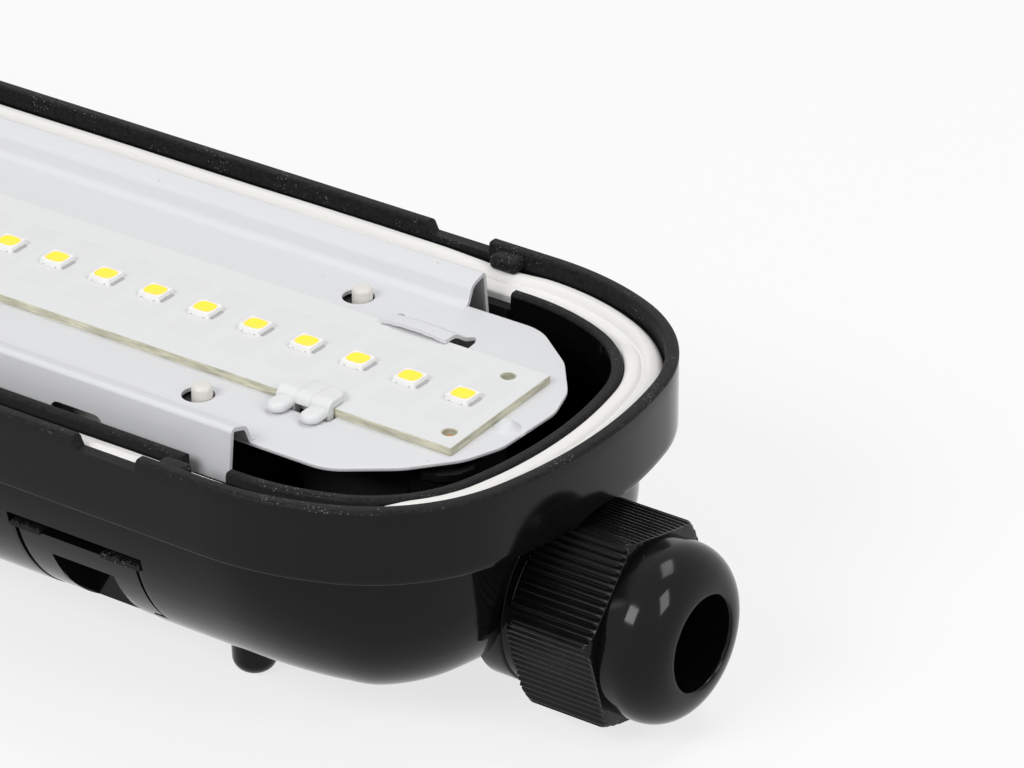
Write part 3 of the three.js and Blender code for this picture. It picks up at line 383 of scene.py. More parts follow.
class Finish:
    """A material under construction: adds nodes and links them with few words."""

    def __init__(self, name):
        self.material = bpy.data.materials.new(name)
        self.material.use_nodes = True
        self.tree = self.material.node_tree
        self.nodes = self.tree.nodes
        self.links = self.tree.links
        self.shader = self.nodes["Principled BSDF"]
        self.place = self.nodes.new("ShaderNodeTexCoord").outputs["Object"]

    def set(self, **values):
        for key, value in values.items():
            self.shader.inputs[key.replace("_", " ").title().replace("Ior", "IOR")].default_value = value
        return self

    def noise(self, scale, detail=4.0, rough=0.5, stretch=(1, 1, 1)):
        mapping = self.nodes.new("ShaderNodeMapping")
        mapping.inputs["Scale"].default_value = stretch
        self.links.new(self.place, mapping.inputs["Vector"])
        node = self.nodes.new("ShaderNodeTexNoise")
        node.inputs["Scale"].default_value = scale
        node.inputs["Detail"].default_value = detail
        node.inputs["Roughness"].default_value = rough
        self.links.new(mapping.outputs["Vector"], node.inputs["Vector"])
        return node.outputs["Fac"]

    def cells(self, scale):
        node = self.nodes.new("ShaderNodeTexVoronoi")
        node.inputs["Scale"].default_value = scale
        self.links.new(self.place, node.inputs["Vector"])
        return node.outputs["Distance"]

    def ramp(self, value, stops):
        node = self.nodes.new("ShaderNodeValToRGB")
        ramp = node.color_ramp
        while len(ramp.elements) < len(stops):
            ramp.elements.new(0.5)
        for element, (at, colour) in zip(ramp.elements, stops):
            element.position = at
            element.color = (*colour, 1) if np.ndim(colour) else (colour, colour, colour, 1)
        self.links.new(value, node.inputs["Fac"])
        return node.outputs["Color"]

    def span(self, value, low, high, to_low, to_high):
        node = self.nodes.new("ShaderNodeMapRange")
        for key, number in (("From Min", low), ("From Max", high), ("To Min", to_low), ("To Max", to_high)):
            node.inputs[key].default_value = number
        self.links.new(value, node.inputs["Value"])
        return node.outputs["Result"]

    def math(self, kind, one, two):
        node = self.nodes.new("ShaderNodeMath")
        node.operation = kind
        for socket, value in zip(node.inputs, (one, two)):
            if isinstance(value, (int, float)):
                socket.default_value = value
            else:
                self.links.new(value, socket)
        return node.outputs["Value"]

    def mix(self, factor, one, two):
        node = self.nodes.new("ShaderNodeMix")
        node.data_type = "RGBA"
        for name, kind, value in (("Factor", "VALUE", factor), ("A", "RGBA", one), ("B", "RGBA", two)):
            socket = next(s for s in node.inputs if s.name == name and s.type == kind)
            if hasattr(value, "is_output"):
                self.links.new(value, socket)
            else:
                socket.default_value = value if kind == "VALUE" else (*value, 1)
        return next(s for s in node.outputs if s.type == "RGBA")

    def along(self, name):
        node = self.nodes.new("ShaderNodeSeparateXYZ")
        self.links.new(self.place, node.inputs["Vector"])
        return node.outputs[name]

    def colour(self, socket):
        self.links.new(socket, self.shader.inputs["Base Color"])
        return self

    def roughness(self, socket):
        self.links.new(socket, self.shader.inputs["Roughness"])
        return self

    def bump(self, height, depth, strength=1.0):
        node = self.nodes.new("ShaderNodeBump")
        node.inputs["Distance"].default_value = depth
        node.inputs["Strength"].default_value = strength
        self.links.new(height, node.inputs["Height"])
        if self.shader.inputs["Normal"].is_linked:
            self.links.new(self.shader.inputs["Normal"].links[0].from_socket, node.inputs["Normal"])
        self.links.new(node.outputs["Normal"], self.shader.inputs["Normal"])
        return self


def shades(colour, low, high):
    """Two shades of a colour, as factors of it."""
    return tuple(c * low for c in colour), tuple(min(1.0, c * high) for c in colour)


def moulded_black(name, colour, rough=0.09, wave=0.000012):
    """Glossy moulded plastic: a very shallow sink-mark wave, fine dust specks and slightly uneven gloss."""
    f = Finish(name).set(ior=1.28)
    base = f.mix(f.noise(35, 3), *shades(colour, 0.85, 1.2))
    dust = f.ramp(f.cells(900), [(0.0, 1.0), (0.035, 0.0)])
    rare = f.ramp(f.noise(160, 2), [(0.58, 0.0), (0.66, 1.0)])
    f.colour(f.mix(f.math("MULTIPLY", dust, rare), base, (0.10, 0.10, 0.10)))
    f.roughness(f.span(f.noise(240, 3), 0.3, 0.7, rough * 0.8, rough * 1.35))
    f.bump(f.noise(60, 2), wave)
    f.bump(f.noise(1400, 2), 0.0000015)
    return f.material


def dull_rim(name, colour):
    """Tops of the moulded walls: dull near-black with a dusty grain and tiny bright specks in patches."""
    f = Finish(name).set(ior=1.15)
    grain = f.noise(2200, 5, 0.7)
    low, high = shades(colour, 0.45, 1.8)
    base = f.mix(f.span(grain, 0.3, 0.7, 0, 1), low, high)
    dots = f.ramp(f.cells(2600), [(0.0, 1.0), (0.16, 1.0), (0.26, 0.0)])
    patches = f.ramp(f.noise(190, 4, 0.6), [(0.52, 0.0), (0.62, 1.0)])
    base = f.mix(f.math("MULTIPLY", f.math("MULTIPLY", dots, patches), 0.8), base, (0.17, 0.17, 0.165))
    f.colour(base)
    f.roughness(f.span(grain, 0.3, 0.7, 0.34, 0.55))
    f.bump(grain, 0.00004)
    return f.material


def foam(name, colour):
    """Smooth-skinned foam: soft and matt, with a faint cloudiness and very fine cells."""
    f = Finish(name).set(ior=1.4, roughness=0.62, subsurface_weight=0.12, subsurface_scale=0.0015,
                         subsurface_radius=(1, 1, 1))
    low, high = shades(colour, 0.975, 1.015)
    f.colour(f.mix(f.noise(90, 2), low, high))
    f.bump(f.noise(5200, 2), 0.000008, 0.5)
    return f.material


def enamel(name, colour):
    """Satin enamelled sheet: a faint orange peel, slightly uneven tone and a few tiny dark specks."""
    f = Finish(name).set(ior=1.45)
    low, high = shades(colour, 0.985, 1.01)
    base = f.mix(f.noise(24, 2), low, high)
    speck = f.ramp(f.cells(260), [(0.0, 1.0), (0.024, 1.0), (0.034, 0.0)])
    f.colour(f.mix(f.math("MULTIPLY", speck, 0.7), base, (0.30, 0.30, 0.31)))
    f.roughness(f.span(f.noise(300, 2), 0.3, 0.7, 0.46, 0.54))
    f.bump(f.noise(900, 2), 0.000002)
    return f.material


def solder_mask(name, colour, pitch):
    """White mask over copper: the edges of the lands below it stand out as faint steps."""
    f = Finish(name).set(ior=1.48, roughness=0.42)
    x, y = f.along("X"), f.along("Y")
    phase = f.math("PINGPONG", f.math("ADD", x, 1.0), pitch / 2)
    gap = f.math("LESS_THAN", phase, pitch * 0.16)
    wide = f.math("LESS_THAN", f.math("ABSOLUTE", y, 0.0), 0.0058)
    land = f.math("MULTIPLY", f.math("SUBTRACT", 1.0, gap), wide)
    low, high = shades(colour, 0.975, 1.01)
    f.colour(f.mix(f.math("MULTIPLY", land, 0.6), high, low))
    f.bump(land, 0.00003, 0.7)
    f.bump(f.noise(700, 2), 0.000004)
    return f.material


def laminate(name, colour):
    """Cut edge of glass-fibre laminate: layers with pale streaks."""
    f = Finish(name).set(ior=1.5, roughness=0.6)
    fibre = f.noise(700, 5, 0.7, (0.3, 0.3, 3.0))
    low, high = shades(colour, 0.75, 1.5)
    f.colour(f.mix(f.span(fibre, 0.35, 0.65, 0, 1), low, high))
    f.bump(fibre, 0.00005)
    return f.material


def plain(name, colour, rough, scale=300, depth=0.00001, ior=1.5, metal=0.0, glow=0.0):
    """A satin plastic, rubber or metal with a fine grain in its colour, gloss and relief."""
    f = Finish(name).set(ior=ior, metallic=metal)
    grain = f.noise(scale, 4)
    low, high = shades(colour, 0.92, 1.05)
    f.colour(f.mix(grain, low, high))
    f.roughness(f.span(grain, 0.3, 0.7, rough * 0.85, min(1.0, rough * 1.15)))
    f.bump(grain, depth)
    if glow:
        f.set(subsurface_weight=glow, subsurface_scale=0.001, subsurface_radius=(1, 1, 1))
    return f.material


def painted_end_shade(name, colour, low, high):
    """Satin case plastic whose two ends, before and past the given places along X, are painted black:
    painted shade for the dark ends of the case under the tray.
    """
    f = Finish(name).set(ior=1.5)
    grain = f.noise(200, 4)
    base = f.mix(grain, *shades(colour, 0.92, 1.05))
    x = f.along("X")
    # Painted shade: the case is black before low and past high along X.
    end_shade = f.math("ADD", f.math("LESS_THAN", x, low), f.math("GREATER_THAN", x, high))
    f.colour(f.mix(end_shade, base, (0.006, 0.006, 0.006)))
    f.roughness(f.span(grain, 0.3, 0.7, 0.4, 0.5))
    f.bump(grain, 0.00001)
    return f.material


def phosphor(name, colour):
    """The light source's window: deep yellow, paler towards its rim, with a faint painted glow in its own
    yellow.
    """
    # Painted glow: the window emits faintly in its own yellow.
    f = Finish(name).set(ior=1.42, roughness=0.35, emission_strength=0.12)
    low, high = shades(colour, 0.96, 1.04)
    f.colour(f.mix(f.noise(2500, 2), low, high))
    f.shader.inputs["Emission Color"].default_value = (*colour, 1)
    f.bump(f.noise(3000, 2), 0.00001)
    return f.material


FINISHES = {}


def make_finishes(colours, pitch):
    """All finishes of the fixture, by the maker's names for them."""
    FINISHES.update({
        "housing": moulded_black("housing gloss", colours.housing),
        "rim": dull_rim("rim dull", colours.rim),
        "nut": moulded_black("nut gloss", colours.housing, rough=0.12, wave=0.00001),
        "ribs": moulded_black("nut ribs", colours.housing, rough=0.24, wave=0.000004),
        "gasket": foam("gasket foam", colours.gasket),
        "tray": enamel("tray enamel", colours.tray),
        "mask": solder_mask("board mask", colours.board, pitch),
        "laminate": laminate("board laminate", colours.laminate),
        "copper": plain("bare copper", (0.62, 0.22, 0.08), 0.5, metal=0.2),
        "package": plain("light package", (0.84, 0.84, 0.82), 0.35, scale=900, depth=0.000003),
        "phosphor": phosphor("light phosphor", colours.phosphor),
        "halo": plain("light window rim", (0.95, 0.70, 0.48), 0.35, scale=900, depth=0.000003),
        "tin": plain("tinned terminal", (0.55, 0.55, 0.56), 0.22, scale=1500, metal=1.0),
        "nylon": plain("clip nylon", colours.nylon, 0.5, scale=260, depth=0.000004, ior=1.4, glow=0.15),
        # The driver's finish paints shade in black onto both ends of the case.
        "driver": painted_end_shade("driver plastic", colours.driver, DRIVER_LOW[0] + 0.008, DRIVER_HIGH[0] - 0.008),
        "peg": plain("peg plastic", colours.driver, 0.35, scale=200, glow=0.05),
        "terminal": plain("terminal plastic", (0.03, 0.03, 0.032), 0.35, scale=200),
        "brown": plain("brown sleeve", (0.030, 0.012, 0.006), 0.5),
        "blue": plain("blue sleeve", (0.02, 0.09, 0.38), 0.4),
        # Green sleeve: its own green, made darker as painted shade where it shows under the tray.
        "green": plain("green sleeve", (0.02, 0.10, 0.02), 0.4),
        "red": plain("red sleeve", (0.45, 0.02, 0.012), 0.4),
        "black": plain("black sleeve", (0.012, 0.012, 0.013), 0.42),
        "zinc": plain("black zinc plate", (0.035, 0.035, 0.038), 0.45, scale=800, metal=1.0),
        "rubber": plain("black rubber", (0.012, 0.012, 0.012), 0.7, scale=500, depth=0.00003),
        "ring": plain("thrust ring plastic", (0.02, 0.02, 0.021), 0.4),
    })


def finish_node(name, *finishes):
    """Gives a node of the frame its finish."""
    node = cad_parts[name]
    node.data.materials.clear()
    for finish in finishes:
        node.data.materials.append(FINISHES[finish])


def stands_for(piece, body, slot, *nodes):
    """Lets a piece ride on a body in place of nodes of the frame."""
    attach(piece, body)
    if nodes:
        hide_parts(*nodes)


# Housing

NOSE_SHARE, CORNER_SHARE = 1.855, 0.68
NOSE_ANGLE, CORNER_ANGLE = radians(14), radians(66)

# Places along the length of clip seats, rim notches, hook blocks and gaps in the inner wall
SEATS = [k * 0.2475 for k in (-1, -1 / 3, 1 / 3, 1)]
NOTCH = HALF_LENGTH - 0.0411
HOOK = HALF_LENGTH - 0.0371
GAP, GAP_LENGTH = HALF_LENGTH - 0.0357, 0.00586

# Clip seats: half lengths, depths, drops below the skirt's lip, and stretches of torn web
SLOT_HALF, PANEL_HALF, WINDOW_HALF, BACKING_HALF = 0.0091, 0.0084, 0.00415, 0.00605
LINE_PLACE, LINE_HALF = 0.00828, 0.00013
SLOT_DEPTH, PANEL_DEPTH, LINE_DEPTH, WINDOW_DEPTH = 0.00375, 0.0001, 0.0004, 0.0104
SLOT_TOP, SLOT_LOW, TEAR_LOW, WINDOW_TOP = 0.0042, 0.00565, 0.00575, 0.00845
TEARS = ((-0.0089, -0.0048), (0.0036, 0.0089))

NOTCH_DROP, GAP_DROP, LIP_RISE = 0.00135, 0.0040, 0.0006
FOOT_X, FOOT_Y, LEDGE_X, RECESS_END = 0.2591, 0.0148, 0.257, 0.2965

# Length of a feature's sloping side, and distance of rows of points from a feature's edge
SOFT, SEAM = 0.00012, 0.00003

# Zones of the section, from the base over the rim to the cavity
TUB, SKIRT, RIM_TOP, GROOVE, WALL_FACE, WALL_TOP, CAVITY = range(7)


def outline_stations(straight):
    """Stations round the housing: each has a centre, an outward direction and a radius.

    A point drawn in by an inset is centre + direction * (radius - inset). Each end is an arch of five
    arcs, a wide nose, two corners and two flanks, that run into each other; on the straight sides the
    radius is half the width.
    """
    nose_r, corner_r = NOSE_SHARE * HALF_WIDTH, CORNER_SHARE * HALF_WIDTH
    nose_x = HALF_LENGTH - nose_r
    corner_x = nose_x + (nose_r - corner_r) * cos(NOSE_ANGLE)
    corner_y = (nose_r - corner_r) * sin(NOSE_ANGLE)
    reach = corner_y + corner_r * sin(CORNER_ANGLE)
    flank_r = (HALF_WIDTH - reach) / (1 - sin(CORNER_ANGLE))
    flank_x = corner_x + (corner_r - flank_r) * cos(CORNER_ANGLE)
    flank_y = HALF_WIDTH - flank_r
    arcs = [(nose_x, 0.0, nose_r, np.linspace(0, NOSE_ANGLE, 13)),
            (corner_x, corner_y, corner_r, np.linspace(NOSE_ANGLE, CORNER_ANGLE, 37)[1:]),
            (flank_x, flank_y, flank_r, np.linspace(CORNER_ANGLE, pi / 2, 17)[1:])]
    quarter = np.concatenate([np.column_stack([np.full(len(a), x), np.full(len(a), y),
                                               np.cos(a), np.sin(a), np.full(len(a), r)])
                              for x, y, r, a in arcs])
    xs = np.array(sorted(x for x in straight if abs(x) < flank_x - 1e-5))[::-1]
    side = np.column_stack([xs, 0 * xs, 0 * xs, 0 * xs + 1, 0 * xs + HALF_WIDTH])
    upper = np.vstack([quarter, side, quarter[::-1] * [-1, 1, -1, 1, 1]])
    lower = upper[1:-1][::-1] * [1, -1, 1, -1, 1]
    return np.vstack([upper, lower]), flank_x


def near(x, centre, half, soft=SOFT):
    """1 within half of a centre, 0 past half + soft, and a slope between."""
    return np.clip((half + soft - np.abs(x - centre)) / soft, 0, 1)


def feature_stations():
    """Places along the straight sides where something starts or ends, with steps between."""
    places = list(np.linspace(-0.272, 0.272, 35))
    line_start = LINE_PLACE - LINE_HALF
    for seat in SEATS:
        for half in (SLOT_HALF, PANEL_HALF, line_start, line_start - SOFT, WINDOW_HALF, BACKING_HALF):
            for end in (-1, 1):
                places.extend(seat + end * (half + step) for step in (0, SOFT, SOFT / 2))
        places.extend(seat + np.linspace(-0.009, 0.009, 19))
    notch_steps = np.array([-0.00475, -0.00468, -0.0040, -0.0039, 0.0039, 0.0040, 0.00406])
    gap_steps = np.array([0.0, -SOFT / 2, -SOFT, GAP_LENGTH - SOFT / 2, GAP_LENGTH, GAP_LENGTH + SOFT / 2])
    for end in (-1, 1):
        places.extend(end * (NOTCH + notch_steps))
        places.extend(end * (NOTCH + np.linspace(-0.0047, -0.0040, 5)))
        places.extend(end * (GAP + gap_steps))
    return np.unique(np.round(places, 6))


def nose_weight(stations):
    """0 along the straight sides and 1 round the nose, with a smooth step as the outline turns."""
    return smooth_step((np.abs(stations[:, 2]) - 0.05) / 0.6)


def around(stations, inset, height):
    """Points drawn in from the outline at each station, at their heights."""
    reach = stations[:, 4] - inset
    return np.stack([stations[:, 0] + stations[:, 2] * reach, stations[:, 1] + stations[:, 3] * reach,
                     height], axis=-1)


def tub_radius(sizes):
    """Radius of the tub's rounded lower corner along the sides."""
    skirt = RIM - sizes.skirt_depth
    return min(skirt - 0.0007 - sizes.foot_height,
               CORNER_SHARE * HALF_WIDTH - sizes.skirt_overhang - sizes.wall)


def tub_form(sizes):
    """The tub as a full block up to the skirt's lip, for trimming what lies inside its wall."""
    skirt = RIM - sizes.skirt_depth
    stations, _ = outline_stations(np.linspace(-0.27, 0.27, 31))
    weight = nose_weight(stations)
    overhang = sizes.skirt_overhang + sizes.nose_overhang * weight
    radius = tub_radius(sizes) - (tub_radius(sizes) - sizes.nose_radius) * weight
    inset, height = [], []
    for a in np.linspace(pi / 2, 0, 24):
        inset.append(overhang + radius * (1 - cos(a)))
        height.append(sizes.foot_height + radius * (1 - sin(a)))
    inset.append(overhang)
    height.append(np.full(len(stations), skirt + 0.0006))
    return capped_rings("form", around(stations, np.array(inset), np.array(height)), [FINISHES["housing"]])


def shell_form(sizes):
    """Levels, insets and radii of the housing's section, from its sizes."""
    skirt = RIM - sizes.skirt_depth
    outer_r = tub_radius(sizes)
    groove_in = sizes.rim_wall + sizes.groove_width
    return SimpleNamespace(
        overhang=sizes.skirt_overhang, wall=sizes.wall, skirt=skirt,
        outer_r=outer_r, inner_r=outer_r - sizes.wall,
        axis_z=sizes.foot_height + outer_r, axis_in=sizes.skirt_overhang + outer_r,
        groove_in=groove_in, cavity_in=groove_in + sizes.inner_wall,
        floor=RIM - sizes.groove_depth, wall_top=RIM - sizes.inner_drop,
        slot_top=skirt - SLOT_TOP, slot_low=skirt - SLOT_LOW, window_top=skirt - WINDOW_TOP)


def zone_of(i, z, sizes, form):
    """The zone of a point of the section above the tub's round."""
    if z <= form.skirt + 1e-5 and i < sizes.rim_wall:
        return TUB
    if i < 1e-5 and z < RIM - 0.0005:
        return SKIRT
    if z > RIM - 0.0006:
        return RIM_TOP
    if i < form.groove_in - 1e-6:
        return GROOVE
    return WALL_TOP if z > form.wall_top - 0.0006 else WALL_FACE


def round_rows(form, radius, start, stop, steps, levels):
    """Pairs of inset and height on an arc of the tub's round, with pairs added at some levels."""
    angles = np.linspace(start, stop, steps)
    extra = [np.arcsin((form.axis_z - z) / radius) for z in levels]
    angles = np.unique(np.round(np.concatenate([angles, extra]), 6))
    if start > stop:
        angles = angles[::-1]
    return [(form.axis_in - radius * cos(a), form.axis_z - radius * sin(a)) for a in angles]


def shell_section(sizes, form):
    """The section as rows of inset, height and zone.

    The rounds have rows just above and below each edge of a seat, and the long faces have rows
    between their ends, which keep the features' edges apart.
    """
    edges = [z + d for z in (form.slot_top, form.slot_low, form.window_top) for d in (SEAM, -SEAM)]
    rows = [(i, z, TUB) for i, z in round_rows(form, form.outer_r, pi / 2, 0, 30, edges)]
    line = rounded([
        (form.overhang, form.axis_z), (form.overhang, form.skirt), (0, form.skirt), (0, RIM),
        (sizes.rim_wall, RIM), (sizes.rim_wall, form.floor), (form.groove_in, form.floor),
        (form.groove_in, form.wall_top), (form.cavity_in, form.wall_top), (form.cavity_in, RIM - 0.012)],
        [0.00015, 0.0003, 0.00042, 0.00032, 0.0003, 0.0003, 0.00042, 0.00042], 4)
    for a, b in zip(line, line[1:]):
        count = max(2, int(np.linalg.norm(b - a) / 0.0018) + 2)
        for t in np.linspace(0, 1, count)[1:]:
            i, z = a + (b - a) * t
            rows.append((i, z, zone_of(i, z, sizes, form)))
    cavity_angle = acos(min(1.0, (form.axis_in - form.cavity_in) / form.inner_r))
    edges = [form.window_top + form.wall + d for d in (SEAM, -SEAM)]
    rows += [(i, z, CAVITY) for i, z in round_rows(form, form.inner_r, cavity_angle, pi / 2, 18, edges)]
    return np.array(rows)


def shape_nose(inset, height, table, zone, weight, sizes, form):
    """Round the nose the tub is set back further below the skirt and turns in more tightly."""
    shift = sizes.nose_overhang * weight
    upright = table[:, 1] >= form.axis_z + 1e-6
    for rows, depth, radius in (((zone == TUB) & (table[:, 1] < form.axis_z + 1e-6), 0.0, form.outer_r),
                                (zone == CAVITY, form.wall, form.inner_r)):
        share_in = (form.axis_in - table[rows, 0]) / radius
        share_up = (form.axis_z - table[rows, 1]) / radius
        tight = radius - (form.outer_r - sizes.nose_radius) * weight
        centre_in = form.overhang + shift + depth + tight
        centre_up = sizes.foot_height + depth + tight
        inset[rows] = centre_in[None] - share_in[:, None] * tight[None]
        height[rows] = centre_up[None] - share_up[:, None] * tight[None]
    inset[(zone == TUB) & upright & (table[:, 0] >= form.overhang - 1e-6)] += shift[None]
    height[(zone <= SKIRT) & upright & (table[:, 1] <= form.skirt + 0.00032)] += LIP_RISE * weight[None]
    low_wall = (zone == WALL_FACE) & (table[:, 1] < form.floor)
    ease = np.clip((form.floor - table[low_wall, 1]) / 0.004, 0, 1)
    inset[low_wall] = np.maximum(inset[low_wall], (form.overhang + shift + form.wall)[None] * ease[:, None])


def press_seat(inset, height, table, zone, x, seat, straight, form):
    """A clip seat on both sides: a slot, a shallow panel between two lines, and a window."""
    i0, z0 = table[:, 0], table[:, 1]
    tub = zone == TUB

    def sink(rows, depth, half):
        inset[rows] = np.maximum(inset[rows], (depth * (near(x, seat, half) * straight))[None])

    sink(tub & (z0 < form.slot_top) & (z0 > form.slot_low), SLOT_DEPTH, SLOT_HALF)
    rows = tub & (z0 < form.slot_low)
    lean = np.clip((i0[rows] - form.axis_in) / -form.outer_r, 0, 1)
    rise = np.clip((form.axis_z - z0[rows]) / form.outer_r, 0, 1)
    fade = np.clip((rise - 0.35) / 0.3, 0, 1)
    panel = near(x, seat, PANEL_HALF) * straight
    line = near(np.abs(x - seat), LINE_PLACE, LINE_HALF) * straight
    deep = (PANEL_DEPTH * panel + LINE_DEPTH * line)[None]
    inset[rows] += deep * (lean * fade + (1 - fade) / np.maximum(lean, 0.5))[:, None]
    height[rows] += deep * (rise * fade)[:, None]
    sink(tub & (z0 < form.window_top), WINDOW_DEPTH, WINDOW_HALF)
    sink((zone == CAVITY) & (z0 < form.window_top + form.wall), WINDOW_DEPTH + form.wall, BACKING_HALF)


def housing_shell(sizes):
    """The shell: a section of inset and height pairs carried round the outline.

    The section runs from the base up the round of the tub, out under the skirt, up over the rim, down
    into the groove, over the inner wall and down the cavity to its floor. Along the sides the pairs are
    moved: the rim's height is held down at the notches, the inner wall's at its gaps, and at the seats
    the inset is held in to a slot, a shallow panel and a window.
    """
    form = shell_form(sizes)
    table = shell_section(sizes, form)
    stations, flank_x = outline_stations(feature_stations())
    n = len(stations)
    inset = np.repeat(table[:, 0][:, None], n, axis=1)
    height = np.repeat(table[:, 1][:, None], n, axis=1)
    zone = table[:, 2].astype(int)
    shape_nose(inset, height, table, zone, nose_weight(stations), sizes, form)
    x = stations[:, 0]
    straight = np.abs(x) < flank_x - 1e-5

    # Notches in the rim are upright at the nose side and slope at the other.
    from_mid = np.abs(x) - NOTCH
    slope, upright = (from_mid + 0.004675) / 0.000675, (0.00406 - from_mid) / 0.00006
    notch = np.clip(np.minimum(slope, upright), 0, 1) * straight
    rim_rows = (zone >= SKIRT) & (zone <= GROOVE)
    height[rim_rows] = np.minimum(height[rim_rows], (RIM - NOTCH_DROP * notch)[None])

    # Gaps in the inner wall are cut down by the same drop at both ends.
    start, stop = (np.abs(x) - GAP) / 0.00006 + 1, (GAP + GAP_LENGTH - np.abs(x)) / 0.00006
    gap = np.clip(np.minimum(start, stop), 0, 1) * straight
    wall_rows = (zone == WALL_FACE) | (zone == WALL_TOP)
    height[wall_rows] = np.minimum(height[wall_rows], (RIM - GAP_DROP * gap)[None])

    for seat in SEATS:
        press_seat(inset, height, table, zone, x, seat, straight, form)
    quad_zone = np.repeat(np.where(zone[1:] == WALL_FACE, WALL_FACE, zone[:-1]), n)
    dull = np.isin(quad_zone, [RIM_TOP, WALL_TOP]).astype(int).tolist()
    return capped_rings("housing_shell", around(stations, inset, height),
                        [FINISHES["housing"], FINISHES["rim"]], dull + [0, 0], 38.0)


def torn_rest(start, stop, side, level, finish, part):
    """A rest of torn web along a seat's slot: a strip whose upper edge is a sum of four sines."""
    x = np.linspace(start, stop, 36)
    ragged = (np.sin(x * 9000 + part) * 0.5 + np.sin(x * 15100 + side) * 0.35 + np.sin(x * 4100) * 0.4
              + np.sin(x * 23900 + 2) * 0.25)
    top = level + 0.00062 + 0.00022 * ragged
    outline = np.vstack([np.column_stack([top, x]), [(level, stop), (level, start)]])
    deep = HALF_WIDTH - 0.0034
    ends = sorted((side * deep, side * (HALF_WIDTH - 0.00158)))
    rest = extruded("rest", outline, ends[0], ends[1], [finish], axis="Y", sharp=20)
    outward(rest)
    return rest


def add_hooks_and_feet(body, sizes):
    """Hook blocks in the rim's notches and round feet below, mirrored both ways."""
    rim_in = HALF_WIDTH - sizes.rim_wall
    profile = rounded([(0, 0), (0.00245, 0), (0.0027, 0.006), (0, 0.006)], [0.0018, 0.0], 8)
    for end in (-1, 1):
        for side in (-1, 1):
            hook = block("hook", (end * (HOOK + 0.0014), side * (rim_in - 0.0021), RIM - 0.0021),
                         (end * (HOOK + 0.0050), side * (rim_in + 0.0006), RIM - 0.0004), 0.0006,
                         [FINISHES["rim"]], 5)
            cut(body, hook, "UNION")
            foot = turned("foot", profile, (end * FOOT_X, side * FOOT_Y, 0), "Z", [FINISHES["housing"]], 40)
            cut(body, foot, "UNION")


def add_ledges(body, sizes):
    """Six ledges on the walls of the cavity, under the edges of the gear tray."""
    cavity = HALF_WIDTH - sizes.rim_wall - sizes.groove_width - sizes.inner_wall
    for x in (-LEDGE_X, 0.0, LEDGE_X):
        for side in (-1, 1):
            ledge = block("ledge", (x - 0.003, side * (cavity - 0.0026), 0.0085),
                          (x + 0.003, side * (cavity + 0.0008), 0.0209), 0.0003, [FINISHES["housing"]])
            cut(ledge, tub_form(sizes), "INTERSECT")
            cut(body, ledge, "UNION")


def add_gland_seat(body, sizes):
    """The recess round the gland, the boss with its spigot, and the bore through them."""
    face = NUT_LOW[0] - 0.0015
    centre = (0, 0, GLAND_Z)
    recess = (NUT_HIGH[2] - GLAND_Z) + 0.0012
    sill = SEAL_LOW[0] - 0.0003
    gloss = [FINISHES["housing"]]
    backing = cylinder("backing", recess, face - 0.0019, face, centre, gloss, "X", 96)
    cut(backing, tub_form(sizes), "INTERSECT")
    cut(body, backing, "UNION")
    cut(body, cylinder("clearing", recess, face, RECESS_END, centre, gloss, "X", 128))
    boss = turned("boss", rounded([
        (0, face - 0.009), (0.0065, face - 0.009), (0.0102, face - 0.0035), (0.0102, face),
        (0.0100, face), (0.0100, face + 0.0012), (0.0079, face + 0.0012), (0.0079, face + 0.0096),
        (0, face + 0.0096)], [0.0, 0.0005, 0.0004, 0.0001, 0.00035, 0.0001, 0.0004], 4),
        centre, "X", gloss, 96)
    cut(body, boss, "UNION")
    bore = turned("bore", [(0, face - 0.0110), (0.0054, face - 0.0110), (0.0054, sill), (0.00685, sill),
                           (0.00685, face + 0.0115), (0, face + 0.0115)], centre, "X", gloss, 96)
    cut(body, bore)


class FIXTURE_OT_housing(bpy.types.Operator):
    """Housing: tub, skirt, rim and groove with notches, seats, ledges, feet and the gland's spigot"""

    bl_idname = "fixture.housing"
    bl_label = "Housing"

    def execute(self, context):
        sizes = context.scene.fixture_housing
        body = housing_shell(sizes)
        add_hooks_and_feet(body, sizes)
        add_ledges(body, sizes)
        add_gland_seat(body, sizes)
        level = RIM - sizes.skirt_depth - TEAR_LOW
        pieces = [body]
        for seat in SEATS:
            for side in (-1, 1):
                for part, (start, stop) in enumerate(TEARS):
                    pieces.append(torn_rest(seat + start, seat + stop, side, level, FINISHES["rim"], part))
        body = gathered("housing_moulding", pieces, 38.0)
        stands_for(body, "housing", "housing_plastic", "housing")
        return {"FINISHED"}


def gasket_section(outer, inner, low, top):
    """Outline of the strip: an outer lobe, a crease and an inner lobe."""
    width = inner - outer
    return rounded([
        (inner, low + 0.001), (inner, low), (outer, low), (outer, top),
        (outer + width * 0.44, top + 0.0001), (outer + width * 0.54, top - 0.00055),
        (outer + width * 0.64, top), (inner, top), (inner, low + 0.001)],
        [0.0003, 0.0003, 0.0011, 0.0009, 0.00015, 0.0008, 0.0007], 7)[:-1]


